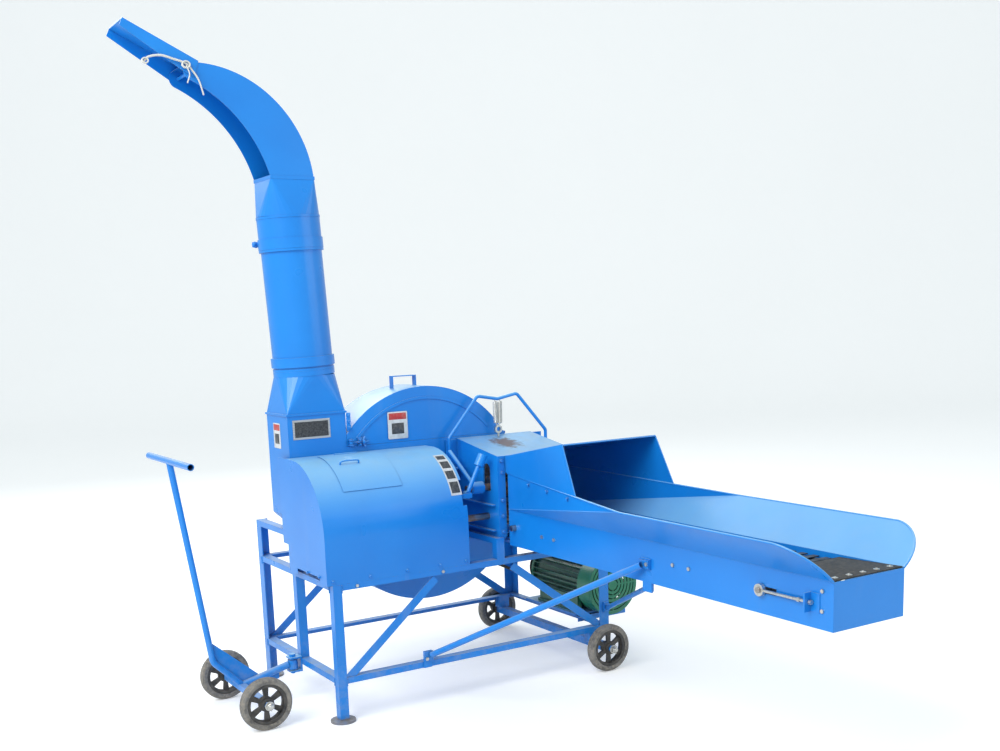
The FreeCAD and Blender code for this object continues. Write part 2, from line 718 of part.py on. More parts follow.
def motor_body():
    """The finned stator with end shields, lifting eye and feet."""
    front, back = "motor_front + 110", "belt_plane - 65"
    parts = [
        ring(["motor_x", front, "motor_z"], "y", "motor_body", "motor_body - 8", f"({back}) - ({front})"),
        ring(["motor_x", front, "motor_z"], "y", "motor_body + 20", "motor_shaft + 0.05", "14"),
        ring(["motor_x", f"{back} - 14", "motor_z"], "y", "motor_body + 20", "motor_shaft + 0.05", "20"),
        rod(["motor_x", f"({front} + {back}) / 2", "motor_z + motor_body - 4"], "z", "9", "40"),
    ]
    fin_count = 30
    fins = []
    y0 = size("motor_front") + 124
    y1 = size("belt_plane") - 79
    centre = V(size("motor_x"), 0, size("motor_z"))
    for k in range(fin_count):
        angle = 360 * k / fin_count
        if 210 < angle < 330:
            continue
        fin = Part.makeBox(26, y1 - y0, 4,
                           V(size("motor_x") + size("motor_body") - 2, y0, size("motor_z") - 2))
        fin.rotate(centre, V(0, -1, 0), angle)
        fins.append(shaped(fin))
    feet = []
    for x in ("motor_x - 150", "motor_x + 95"):
        feet.append(span([x, f"{front} + 40", "motor_z - 160"],
                         [f"{x} + 55", f"{back} - 60", "motor_z - 145"]))
        feet.append(span([f"{x} + 14", f"{front} + 40", "motor_z - 150"],
                         [f"{x} + 41", f"{back} - 60", "motor_z - 70"]))
    bore = rod(["motor_x", front, "motor_z"], "y", "motor_body - 8", f"({back}) - ({front}) - 10")
    return fuse(cut(fuse(*feet), bore), *parts, *fins)


def fan_cowl():
    """The fan cover, its face opened by concentric slots."""
    shell = cut(
        rod(["motor_x", "motor_front", "motor_z"], "y", "cowl_radius", "112"),
        rod(["motor_x", "motor_front + 3", "motor_z"], "y", "cowl_radius - 3", "120"),
    )
    slots = [ring(["motor_x", "motor_front - 5", "motor_z"], "y", f"{radius} + 6", radius, "20")
             for radius in (30, 52, 74, 96, 118, 138)]
    spokes = [span(["motor_x - 160", "motor_front - 6", "motor_z - 4"],
                   ["motor_x + 160", "motor_front + 18", "motor_z + 4"]),
              span(["motor_x - 4", "motor_front - 6", "motor_z - 160"],
                   ["motor_x + 4", "motor_front + 18", "motor_z + 160"])]
    openings = cut(fuse(*slots), *spokes)
    return cut(shell, openings,
               rod(["motor_x", "motor_front + 109.9", "motor_z"], "y", "motor_body + 21", "5"))


def cooling_fan():
    hub = ring(["motor_x", "motor_front + 40", "motor_z"], "y", "45", "motor_shaft + 0.02", "50")
    centre = V(size("motor_x"), 0, size("motor_z"))
    vanes = []
    for k in range(8):
        vane = Part.makeBox(90, 46, 3, V(size("motor_x") + 40, size("motor_front") + 42, size("motor_z")))
        vane.rotate(centre, V(0, -1, 0), 45 * k)
        vanes.append(shaped(vane))
    return fuse(hub, *vanes)


node("motor_body", motor_body())
node("fan_cowl", fan_cowl())
node("cooling_fan", cooling_fan())
node("motor_shaft",
     rod(["motor_x", "motor_front + 30", "motor_z"], "y", "motor_shaft", "(belt_plane) - motor_front + 15"))
node("terminal_box", fuse(
    span(["motor_x + motor_body + 25", "330", "motor_z - 45"],
         ["motor_x + motor_body + 95", "450", "motor_z + 45"]),
    rod(["motor_x + motor_body + 60", "390", "motor_z - 70"], "z", "14", "30"),
))
node("motor_mount", fuse(
    span(["motor_x - 175", "motor_front + 116", "motor_z - 170"],
         ["motor_x + 165", "720", "motor_z - 160"]),
    span(["motor_x - 115", "245", "low_rail"], ["motor_x - 65", "605", "motor_z - 170"]),
    span(["motor_x + 95", "200", "low_rail"], ["motor_x + 145", "605", "motor_z - 170"]),
))


# ---------------------------------------------------------------------------------- feed gearbox

def spur_gear(teeth, bore, width, phase=0):
    """A spur gear about its own Z from z = 0: straight-flanked teeth around a root disc."""
    pitch = size("module") * teeth / 2
    tip = pitch + 0.9 * size("module")
    root = pitch - 1.2 * size("module")
    half_root, half_tip = 0.95 * size("module"), 0.38 * size("module")
    tooth_outline = [V(root - 2, -half_root, 0), V(tip, -half_tip, 0), V(tip, half_tip, 0),
                     V(root - 2, half_root, 0)]
    tooth = Part.Face(Part.makePolygon(tooth_outline + [tooth_outline[0]])).extrude(V(0, 0, width))
    solids = []
    for k in range(int(teeth)):
        copy = tooth.copy()
        copy.rotate(V(), V(0, 0, 1), phase + 360 * k / teeth)
        solids.append(copy)
    blank = Part.makeCylinder(root, width).fuse(solids)
    return blank.cut(Part.makeCylinder(bore, width))


def gear_on(axis, centre, gear):
    """Put a gear's own Z along a row axis."""
    gear.Placement = FreeCAD.Placement(centre, TURN[axis])
    return shaped(gear)


mesh_angle = math.degrees(math.atan2(size("drum_z") - size("low_roller_z"),
                                     size("drum_x") - size("gear_x")))


def drive_pinion():
    gear = spur_gear(size("pinion_teeth"), 24.95, size("gear_face"), -(mesh_angle + 180))
    return gear_on("y", V(size("drum_x"), size("gear_front"), size("drum_z")), gear)


def intermediate_gear():
    half_pitch = 180 / size("wheel_teeth")
    gear = spur_gear(size("wheel_teeth"), 16, size("gear_face"), -mesh_angle + half_pitch)
    wheel = gear_on("y", V(size("gear_x"), size("gear_front"), size("low_roller_z")), gear)
    shaft = rod(["gear_x", "feed_y + 60", "low_roller_z"], "y", "17",
                "gear_front + gear_face - feed_y - 60")
    bevel = Part.makeCone(27, 38, 22, V(size("gear_x"), size("feed_y") + 57, size("low_roller_z")),
                          V(0, 1, 0))
    return fuse(wheel, shaft, shaped(bevel))


def gearbox_casing():
    bore = "feed_shaft + 0.05"
    def volume(wall):
        length = f"box_right - box_left - 2 * {wall}"
        return fuse(
            span([f"box_left + {wall}", f"box_front + {wall}", f"box_bottom + {wall}"],
                 [f"box_right - {wall}", f"box_back - {wall}", f"box_top - {wall}"]),
            rod([f"box_left + {wall}", "feed_y", "top_roller_z"], "x", f"78 - {wall} * 0.6", length),
        )
    shell = cut(volume("0"), volume("8"))
    bosses = [rod(["box_right - 2", "feed_y", z], "x", "38", "14")
              for z in ("low_roller_z", "top_roller_z")]
    feet = span(["box_left - 25", "box_front", "box_bottom"],
                ["box_right + 25", "box_back", "box_bottom + 12"])
    stand = [span([x, "box_front", "top_rail"], [f"{x} + 8", "box_back", "box_bottom"])
             for x in ("box_left - 20", "box_right + 12")]
    holes = [rod(["box_left + 4", "feed_y", z], "x", bore, "400") for z in ("low_roller_z", "top_roller_z")]
    input_hole = rod(["gear_x", "box_back - 30", "low_roller_z"], "y", "17.05", "60")
    lever_arm = span(["box_right - 4", "16", "988"], ["765", "28", "1012"])
    lever_pin = rod(["752", "16", "1000"], "y", "7.95", "50")
    casing = cut(fuse(shell, feet, *stand, *bosses), *holes, input_hole)
    return fuse(casing, lever_arm, lever_pin)


def cross_gear(z, teeth, phase):
    """One of the two gears that turn the rollers opposite ways."""
    gear = spur_gear(size(teeth), size("feed_shaft") - 1, 24, phase)
    return gear_on("x", V(size("box_right") - 40, size("feed_y"), size(z)), gear)


def lower_roller():
    """Lower roller with its shaft from the gearbox, bevel gear, cross gear and conveyor sprocket."""
    shaft = rod(["box_left + 14", "feed_y", "low_roller_z"], "x", "feed_shaft",
                "throat_right + 70 - box_left - 14")
    bevel = Part.makeCone(76, 54, 22, V(size("gear_x") - 40.5, size("feed_y"), size("low_roller_z")),
                          V(-1, 0, 0))
    sprocket = rod(["throat_right + 30", "feed_y", "low_roller_z"], "x", "52", "8")
    drum = rod(["throat_left + 14", "feed_y", "low_roller_z"], "x", "roller_radius - 8",
               "throat_right - throat_left - 28")
    return fuse(shaft, shaped(bevel), cross_gear("low_roller_z", "low_cross_teeth", 0), sprocket, drum,
                *roller_ribs("low_roller_z"))


def roller_ribs(z):
    ribs = []
    centre = V(0, size("feed_y"), size(z))
    length = size("throat_right") - size("throat_left") - 28
    for k in range(10):
        rib = Part.makeBox(length, 6, size("roller_radius") - 20,
                           V(size("throat_left") + 14, size("feed_y") - 3, size(z) + 20))
        rib.rotate(centre, V(1, 0, 0), 36 * k)
        ribs.append(shaped(rib))
    return ribs


def upper_drive_shaft():
    """Short upper gearbox shaft with its cross gear and the yoke of the universal joint."""
    shaft = rod(["box_left + 14", "feed_y", "top_roller_z"], "x", "feed_shaft",
                "box_right + 45 - box_left - 14")
    yoke = rod(["box_right + 20", "feed_y", "top_roller_z"], "x", "30", "40")
    return fuse(shaft, cross_gear("top_roller_z", "top_cross_teeth", 180 / size("top_cross_teeth")), yoke)


def upper_roller():
    shaft = rod(["box_right + 130", "feed_y", "top_roller_z"], "x", "feed_shaft",
                "throat_right + 60 - box_right - 130")
    drum = rod(["throat_left + 14", "feed_y", "top_roller_z"], "x", "roller_radius - 8",
               "throat_right - throat_left - 28")
    return fuse(shaft, drum, *roller_ribs("top_roller_z"))


node("drive_pinion", drive_pinion())
node("intermediate_gear", intermediate_gear())
node("gearbox_casing", gearbox_casing())
node("lower_roller", lower_roller())
node("upper_drive_shaft", upper_drive_shaft())
node("upper_roller", upper_roller())
node("shift_lever", cut(
    fuse(
        shaped(bar_between(V(752, 46, 1000), V(838, 46, 1165), 11)),
        shaped(bar_between(V(824, 46, 1138), V(852, 46, 1192), 24)),
        rod(["752", "32", "1000"], "y", "20", "28"),
    ),
    rod(["752", "10", "1000"], "y", "8.02", "100"),
))


# ---------------------------------------------------------------------------------- throat

def side_wall(x):
    """A throat side plate with the arched slot of the floating roller and a hole for the lower one."""
    wall = span([x, "throat_front", "throat_rail"], [f"{x} + throat_wall", "throat_back", "throat_high"])
    low, high, back = size("throat_low"), size("throat_high"), size("throat_back")
    past = 10
    rise = (high - low) / back * past
    above = high + 80
    slope = sheet_plate([V(800, -past, low + 2.5 - rise), V(800, back + past, high + 2.5 + rise),
                         V(800, back + past, above), V(800, -past, above)], 700, V(1, 0, 0))
    slot = [
        span([f"{x} - 1", "feed_y - 34", "top_roller_z - 20"],
             [f"{x} + throat_wall + 1", "feed_y + 34", "top_roller_z + 85"]),
        rod([f"{x} - 1", "feed_y", "top_roller_z + 85"], "x", "34", "throat_wall + 2"),
        rod([f"{x} - 1", "feed_y", "low_roller_z"], "x", "feed_shaft + 0.05", "throat_wall + 2"),
        shaped(slope),
    ]
    return cut(wall, *slot)


def throat_housing():
    """Side plates, top plate, floor, front and rear flanges, welded."""
    low, high = size("throat_low"), size("throat_high")
    x0, x1, back = size("throat_left"), size("throat_right"), size("throat_back")
    roof = sheet_plate([V(x0, -8, low), V(x1, -8, low), V(x1, back, high), V(x0, back, high)], 5,
                       V(0, 0, 1))
    floor = span(["throat_left", "feed_y + 75", "895"], ["throat_right", "throat_back", "903"])
    parts = [side_wall("throat_left"), side_wall("throat_right - throat_wall"), shaped(roof), floor]
    for a, b in (("throat_left", "throat_left + 44"), ("throat_right - 44", "throat_right")):
        parts.append(span([a, "-8", "throat_rail"], [b, "0", "throat_low + 3"]))
    for a, b in (("throat_left - 66", "throat_left"), ("throat_right", "throat_right + 66")):
        parts.append(span([a, "throat_back - 8", "throat_rail + 60"], [b, "throat_back", "throat_high"]))
        parts.append(span([a, "throat_back - 60", "1090"], [b, "throat_back", "1096"]))
    parts.append(span(["throat_left", "-8", "throat_low - 26"], ["throat_right", "0", "throat_low + 3"]))
    for z in ("800", "930"):
        parts.append(span(["throat_left - 22", "20", z], ["throat_left", "throat_back", f"{z} + 6"]))
    return fuse(*parts)


def pressing_bow():
    """The sprung bow: a bent rod whose feet carry the floating roller's bearing links."""
    y, mid = size("bow_y"), (size("throat_left") + size("throat_right")) / 2
    half, rod_r = size("bow_half"), size("bow_rod")
    foot = V(mid - half, y, size("throat_high") - 60)
    points = [foot, V(mid - half, y, size("throat_high") + 12), V(mid - 122, y, 1462), V(mid, y, 1440),
              V(mid + 122, y, 1462), V(mid + half, y, size("throat_high") + 12), V(mid + half, y, foot.z)]
    bow = swept(points, rod_r, 25)
    parts = [shaped(bow)]
    for x in (mid - half, mid + half):
        link = bar_between(V(x, y, foot.z + 4), V(x, size("feed_y"), size("top_roller_z")), 12)
        parts.append(shaped(link))
        inner_end = x + 40 if x < mid else x + 14
        parts.append(rod([f"{inner_end} - 68", "feed_y", "top_roller_z"], "x", "31", "68"))
    solid = fuse(*parts)
    shaft_clear = rod(["throat_left - 110", "feed_y", "top_roller_z"], "x", "feed_shaft + 0.05", "700")
    return cut(solid, shaft_clear)


def coil(x, y, top, bottom):
    """A tension spring between the bow and the eye bolt."""
    helix = Part.makeHelix(9, top - bottom - 24, 13)
    wire = Part.Wire(helix.Edges)
    profile = Part.Wire(Part.makeCircle(2.4, V(13, 0, 0), V(0, 1, 0)))
    spring = wire.makePipeShell([profile], True, True)
    spring.translate(V(x, y, bottom + 12))
    return spring


def press_springs():
    mid = (size("throat_left") + size("throat_right")) / 2
    return shaped(Part.makeCompound([coil(mid + dx, size("bow_y"), 1425, 1308) for dx in (-16, 16)]))


node("throat_housing", throat_housing())
node("pressing_bow", pressing_bow())
node("press_springs", press_springs())
mid_x = "(throat_left + throat_right) / 2"
node("spring_eye_bolt", fuse(
    ring([mid_x, "bow_y - 7", "1280"], "y", "22", "12", "14"),
    rod([mid_x, "bow_y", "throat_high - 1"], "z", "6", "22"),
))
node("fixed_blade",
     span(["throat_left + 60", "throat_back + 2", "905.5"],
          ["throat_right - 100", "disc_front + 9", "915.5"]))


# ---------------------------------------------------------------------------------- feed trough

def mirror_x(shape):
    middle = (size("trough_left") + size("trough_right")) / 2
    return shape.mirror(V(middle, 0, 0), V(1, 0, 0))


def wing():
    """The left side sheet above the bend: a flat triangle at the throat, then a flared strip."""
    x, bend = size("trough_left"), size("bend_z")
    out, back, end = size("wing_out"), size("trough_back"), size("trough_end")
    root = V(x, back, bend)
    root_top = V(x, back, size("wing_root_z"))
    fold = V(x - out, size("wing_fold"), size("wing_z"))
    tip = V(x - out, end + 150, size("wing_z"))
    corner = V(x - out * 0.72, end + 45, bend + (size("wing_z") - bend) * 0.72)
    foot = V(x, end, bend)
    skin = size("trough_skin")
    inner = V(0.9, 0, -0.42)
    upright = (root_top - root).cross(fold - root)
    if upright.x < 0:
        upright = upright * -1
    first = sheet_plate([root, root_top, fold], skin, upright)
    second = Part.Face(Part.Wire([
        Part.LineSegment(root, fold).toShape(), Part.LineSegment(fold, tip).toShape(),
        Part.Arc(tip, corner, foot).toShape(), Part.LineSegment(foot, root).toShape(),
    ]))
    normal = (fold - root).cross(foot - root).normalize()
    if normal.dot(inner) < 0:
        normal = normal * -1
    bends = [bar_between(root, fold, skin * 0.8), bar_between(root, foot, skin * 0.9)]
    return first.fuse([second.extrude(normal * skin)] + bends)


def take_up_brackets():
    """The angles that take the pull of the tail shaft's screws."""
    brackets = []
    for x0, x1, hole_x in (("trough_left - 34", "trough_left", "trough_left - 12"),
                           ("trough_right", "trough_right + 34", "trough_right + 12")):
        plate = span([x0, "tail_y - 248", "chain_z - 36"], [x1, "tail_y - 240", "chain_z + 36"])
        brackets.append(cut(plate, rod([hole_x, "tail_y - 260", "chain_z"], "y", "6.05", "40")))
    for x0, x1 in (("trough_left - 3", "trough_left"), ("trough_right", "trough_right + 3")):
        brackets.append(span([x0, "tail_y - 290", "chain_z - 36"], [x1, "tail_y - 240", "chain_z + 36"]))
    return brackets


def feed_trough():
    """Side walls, bed plate, cross members and flared wings."""
    left, right = "trough_left", "trough_right"
    parts = []
    for x in (left, f"{right} - trough_skin"):
        parts.append(span([x, "trough_end", "trough_floor"],
                          [f"{x} + trough_skin", "trough_back", "bend_z + 2"]))
    for x0, x1 in ((left, f"{left} + 25"), (f"{right} - 25", right)):
        parts.append(span([x0, "trough_end", "trough_floor"], [x1, "trough_back", "trough_floor + 4"]))
    parts.append(span([left, "tail_y + 90", "chain_z + 36"], [right, "head_y - 80", "chain_z + 39"]))
    for y in ("-400", "-1100", "-1650"):
        parts.append(span([left, y, "trough_floor"], [right, f"{y} + 40", "trough_floor + 4"]))
    left_wing = wing()
    parts += [shaped(left_wing), shaped(mirror_x(left_wing))]
    parts.append(span([left, "trough_end - 3", "trough_floor"], [right, "trough_end", "bend_z"]))
    parts += take_up_brackets()
    slots = [span([f"{left} - 1", "tail_y - 75", "chain_z - 13"],
                  [f"{left} + 60", "tail_y + 20", "chain_z + 13"]),
             span([f"{right} - 60", "tail_y - 75", "chain_z - 13"],
                  [f"{right} + 1", "tail_y + 20", "chain_z + 13"]),
             rod([f"{left} - 1", "head_y", "chain_z"], "x", "15.05", "400")]
    return cut(fuse(*parts), *slots)


def feed_hood():
    """The canopy over the trough mouth: two side plates and a sloping top."""
    left, right = size("trough_left"), size("trough_right")
    z_foot, z_rear = size("wing_root_z"), size("throat_low")
    share = 0.65
    foot_y = size("trough_back") + share * (size("wing_fold") - size("trough_back"))
    foot = V(left - share * size("wing_out"), foot_y, z_foot + share * (size("wing_z") - z_foot))
    rear = V(left, size("trough_back") + 15, z_foot)
    rear_top = V(left, rear.y, z_rear)
    slope = (foot.x - left) / (foot.y - rear.y)
    front_top = V(left + slope * (size("hood_y") - rear.y), size("hood_y"), size("hood_z"))
    skin = size("trough_skin")
    side = sheet_plate([rear + V(0, 0, 3), rear_top, front_top, foot + V(0, 0, 3)], skin, V(-1, 0, 0))
    other = side.mirror(V((left + right) / 2, 0, 0), V(1, 0, 0))
    far_x = left + right
    top = sheet_plate([rear_top - V(skin, 0, 0), V(far_x - rear_top.x + skin, rear_top.y, rear_top.z),
                       V(far_x - front_top.x + skin, front_top.y, front_top.z), front_top - V(skin, 0, 0)],
                      skin, V(0, 0.17, 1))
    return shaped(side.fuse([other, top]))


node("feed_trough", feed_trough())
node("feed_hood", feed_hood())


def chain_path_points(count):
    """Evenly spaced stations (y, z, angle) around the conveyor's closed loop."""
    head, tail = size("head_y"), size("tail_y")
    radius = size("sprocket_radius") + 4
    run = head - tail
    arc = math.pi * radius
    total = 2 * (run + arc)
    stations = []
    for k in range(count):
        along = total * k / count
        if along < run:
            stations.append((tail + along, size("chain_z") + radius, 0))
        elif along < run + arc:
            turn = (along - run) / radius
            stations.append((head + radius * math.sin(turn), size("chain_z") + radius * math.cos(turn),
                             -turn))
        elif along < 2 * run + arc:
            stations.append((head - (along - run - arc), size("chain_z") - radius, math.pi))
        else:
            turn = (along - 2 * run - arc) / radius
            stations.append((tail - radius * math.sin(turn), size("chain_z") - radius * math.cos(turn),
                             math.pi - turn))
    return stations


def conveyor_slats():
    """Steel slats carried by the two roller chains."""
    run = size("head_y") - size("tail_y")
    total = 2 * (run + math.pi * (size("sprocket_radius") + 4))
    x0, x1 = size("trough_left") + 14, size("trough_right") - 14
    slats = []
    for y, z, turn in chain_path_points(int(total / size("slat_pitch"))):
        slat = Part.makeBox(x1 - x0, size("slat_width"), 4, V(x0, -size("slat_width") / 2, 5))
        slat.rotate(V(), V(1, 0, 0), math.degrees(turn))
        slat.translate(V(0, y, z))
        slats.append(slat)
    return shaped(Part.makeCompound(slats))


def conveyor_chains():
    """The two chains, each a closed band round the sprockets."""
    chains = []
    outer_r, inner_r = "sprocket_radius + 8.5", "sprocket_radius + 0.6"
    for x in ("trough_left + 40", "trough_right - 56"):
        def band(radius):
            return fuse(
                rod([x, "head_y", "chain_z"], "x", radius, "16"),
                rod([x, "tail_y", "chain_z"], "x", radius, "16"),
                span([x, "tail_y", f"chain_z - ({radius})"],
                     [f"{x} + 16", "head_y", f"chain_z + {radius}"]),
            )
        chains.append(cut(band(outer_r), band(inner_r)))
    return group(*chains)


def sprocket_shaft(y, x0, x1, radius, bore_radius="sprocket_radius"):
    shaft = rod([x0, y, "chain_z"], "x", radius, f"({x1}) - ({x0})")
    wheels = [rod([x, y, "chain_z"], "x", bore_radius, "10") for x in ("trough_left + 43",
                                                                       "trough_right - 53")]
    return fuse(shaft, *wheels)


node("conveyor_slats", conveyor_slats())
node("conveyor_chains", conveyor_chains())
node("head_shaft", fuse(
    sprocket_shaft("head_y", "trough_left - 24", "throat_right + 60", "15"),
    rod(["throat_right + 30", "head_y", "chain_z"], "x", "52", "8"),
))
node("tail_shaft", sprocket_shaft("tail_y", "trough_left - 26", "trough_right + 26", "12"))


def take_up_blocks():
    """Eye bolts that hold the tail shaft and draw it outwards, one each side."""
    pieces = []
    for x in ("trough_left - 20", "trough_right + 4"):
        eye = ring([x, "tail_y", "chain_z"], "x", "24", "12.05", "16")
        screw = rod([f"{x} + 8", "tail_y - 262", "chain_z"], "y", "6", "242")
        nuts = [hexagon([f"{x} + 8", y, "chain_z"], "y", "9", "13")
                for y in ("tail_y - 262", "tail_y - 205")]
        pieces.append(fuse(eye, screw, *nuts))
    return group(*pieces)


node("take_up_blocks", take_up_blocks())
node("rubber_flap", shaped(sheet_plate(
    [V(size("trough_left") + 5, size("trough_end") + 2, size("bend_z") + 1),
     V(size("trough_right") - 5, size("trough_end") + 2, size("bend_z") + 1),
     V(size("trough_right") - 5, size("tail_y") - 45, size("chain_z") + 76),
     V(size("trough_left") + 5, size("tail_y") - 45, size("chain_z") + 76)], 5, V(0, 0, 1))))


def brace_tubes():
    """Two stays from the frame up to the trough, with flattened ends."""
    front = size("frame_front") - 8
    left, floor = size("trough_left"), size("trough_floor")
    long_stay = tube_between(V(466, front - 14, 250), V(left - 25, -1112, 808), 15, 12)
    short_stay = tube_between(V(1545, front - 12, 310), V(left + 22, -1112, floor - 22), 12, 9)
    long_tabs = [Part.makeBox(48, 8, 48, V(430, front - 8, 220)),
                 Part.makeBox(8, 64, 36, V(left - 16, -1148, 794))]
    short_tabs = [Part.makeBox(34, 8, 40, V(1528, front - 8, 290)),
                  Part.makeBox(8, 56, 32, V(left + 8, -1146, floor - 38))]
    return shaped(Part.makeCompound([long_stay.fuse(long_tabs), short_stay.fuse(short_tabs)]))


def brace_brackets():
    """The cleats that the stays bolt to."""
    return group(
        span(["430", "frame_front - 8", "low_rail - rail_drop"], ["474", "frame_front", "low_rail + 55"]),
        span(["1528", "frame_front - 8", "284"], ["1562", "frame_front", "340"]),
        span(["trough_left - 8", "-1150", "trough_floor + 60"],
             ["trough_left", "-1090", "trough_floor + 106"]),
        span(["trough_left", "-1150", "trough_floor - 42"],
             ["trough_left + 8", "-1090", "trough_floor - 0.1"]),
    )


node("brace_tubes", brace_tubes())
node("brace_brackets", brace_brackets())


# ---------------------------------------------------------------------------------- guard

def guard_volume(skin):
    """The guard's form: a flat front that rolls over into the top."""
    top, curl = f"guard_top - {skin}", f"guard_round - {skin}"
    x0, x1 = f"guard_left + {skin}", f"guard_right - {skin}"
    centre_y, centre_z = "guard_round + frame_front", "guard_top - guard_round"
    foot, rear = ("top_rail", "guard_back") if skin == "0" else ("top_rail - 5", "guard_back + 5")
    front = f"frame_front + {skin}"
    roll = common(
        rod([x0, centre_y, centre_z], "x", curl, f"({x1}) - ({x0})"),
        span([x0, front, centre_z], [x1, centre_y, top]),
    )
    return fuse(roll, span([x0, front, foot], [x1, rear, centre_z]),
                span([x0, centre_y, foot], [x1, rear, top]))


def guard_cover():
    shell = cut(guard_volume("0"), guard_volume("sheet"))
    side = fuse(
        span(["guard_left", "guard_back - 1", "800"], ["guard_left + sheet", "490", "guard_top"]),
        span(["guard_left", "guard_back - 1", "top_rail"], ["guard_left + sheet", "430", "801"]),
    )
    openings = [
        span(["hatch_left", "hatch_front", "guard_top - 200"],
             ["hatch_right", "guard_back - 53", "guard_top + 10"]),
        rod(["guard_right - 20", "feed_y", "low_roller_z"], "x", "40", "40"),
        span(["guard_right - 20", "-30", "top_roller_z - 60"],
             ["guard_right + 20", "feed_y + 45", "top_roller_z + 60"]),
        span(["guard_right - 10", "270", "drum_z - 92"],
             ["guard_right + 10", "guard_back + 10", "drum_z + 92"]),
        span(["guard_left - 5", "60", "top_rail - 5"], ["guard_left + 10", "330", "top_rail + 30"]),
    ]
    knuckles = [hatch_knuckle(x, "1") for x in ("hatch_middle - 60", "hatch_middle + 40.2")]
    pin = rod(["hatch_middle - 60", "hinge_y", "hinge_z"], "x", "2", "120")
    return fuse(cut(fuse(shell, side), *openings), *knuckles, pin)


def hatch_knuckle(x, side, length="19.8", bore="1.5"):
    """A piece of the hatch's hinge: a barrel on a leaf that lies on the sheet behind it (1) or before it (-1)."""
    low, high = ("0", "12") if side == "1" else ("-13", "0")
    leaf = span([x, f"hinge_y + {low}", "guard_top - 1"], [f"{x} + {length}", f"hinge_y + {high}", "guard_top + 1.5"])
    barrel = rod([x, "hinge_y", "hinge_z"], "x", "4", length)
    return cut(fuse(leaf, barrel), rod([f"{x} - 1", "hinge_y", "hinge_z"], "x", bore, f"{length} + 2"))


def guard_hatch():
    """The inspection lid that fills the opening in the guard's top, hinged at its rear edge."""
    skin = cut(guard_volume("0"), guard_volume("sheet"))
    zone = span(["hatch_left + 1", "hatch_front + 1", "guard_top - 200"],
                ["hatch_right - 1", "guard_back - 60", "guard_top + 10"])
    knuckle = hatch_knuckle("hatch_middle - 40", "-1", "80", "2.05")
    return fuse(common(skin, zone), knuckle)


# ---------------------------------------------------------------------------------- chute and spout

def point_on_tube(z):
    """Centre of the leaning round chute at a height."""
    share = (z - size("tube_foot")) / (size("tube_top") - size("tube_foot"))
    return V(size("tube_x") - size("tube_lean") * share, size("tube_y"), z)


def square_to_round(corners, centre, radius, arcs=8):
    """A closed solid between a rectangle and a circle: four flats and four conical corners."""
    per_corner = arcs
    faces = []
    rim = []
    for quarter in range(4):
        for k in range(per_corner):
            angle = math.radians(180 + 90 * quarter + 90 * k / per_corner)
            rim.append(centre + V(math.cos(angle), math.sin(angle), 0) * radius)
    count = len(rim)
    for quarter in range(4):
        corner = corners[quarter]
        for k in range(per_corner):
            a = rim[quarter * per_corner + k]
            b = rim[(quarter * per_corner + k + 1) % count]
            faces.append(Part.Face(Part.makePolygon([corner, a, b, corner])))
        following = corners[(quarter + 1) % 4]
        joint = rim[((quarter + 1) * per_corner) % count]
        faces.append(Part.Face(Part.makePolygon([corner, joint, following, corner])))
    faces.append(Part.Face(Part.makePolygon(corners + [corners[0]])))
    faces.append(Part.Face(Part.makePolygon(rim + [rim[0]])))
    return Part.makeSolid(Part.makeShell(faces))


def rectangle(x0, x1, y0, y1, z):
    return [V(x0, y0, z), V(x1, y0, z), V(x1, y1, z), V(x0, y1, z)]


def chute_transition():
    """Square chute base to round tube, with a bolting flange and a neck."""
    z0, z1 = size("chute_top"), size("tube_foot")
    x0, x1 = size("chute_left"), size("chute_right")
    y0 = size("drum_front")
    y1 = y0 + size("drum_depth")
    wall = size("tube_wall")
    centre = point_on_tube(z1)
    outer = square_to_round(rectangle(x0, x1, y0, y1, z0), centre, size("tube_radius") - 2)
    inner = square_to_round(rectangle(x0 + wall, x1 - wall, y0 + wall, y1 - wall, z0 - 0.01),
                            centre + V(0, 0, 0.01), size("tube_radius") - 2 - wall)
    flange = Part.makeBox(x1 - x0 + 12, y1 - y0 + 12, 5, V(x0 - 6, y0 - 6, z0))
    flange = flange.cut(Part.makeBox(x1 - x0 - 8, y1 - y0 - 8, 20, V(x0 + 4, y0 + 4, z0 - 5)))
    rim = tube_between(point_on_tube(z1 - 1), point_on_tube(z1 + 24), size("tube_radius"),
                       size("tube_radius") - wall)
    return shaped(outer.cut(inner).fuse([flange, rim]))


def chute_tube():
    """The round chute with its lower band and the lip that carries the swivelling sleeve."""
    radius, wall = size("tube_radius"), size("tube_wall")
    low, high = size("tube_foot") + 24.2, size("tube_top") + 60
    tube = tube_between(point_on_tube(low), point_on_tube(high), radius - 4, radius - 4 - wall)
    band = tube_between(point_on_tube(low + 19), point_on_tube(low + 66), radius + 5, radius - 5)
    foot = tube_between(point_on_tube(low), point_on_tube(low + 12), radius, radius - 5)
    lip = tube_between(point_on_tube(size("tube_top") - 12), point_on_tube(size("tube_top")), radius + 5, radius - 5)
    return shaped(tube.fuse([band, foot, lip]))


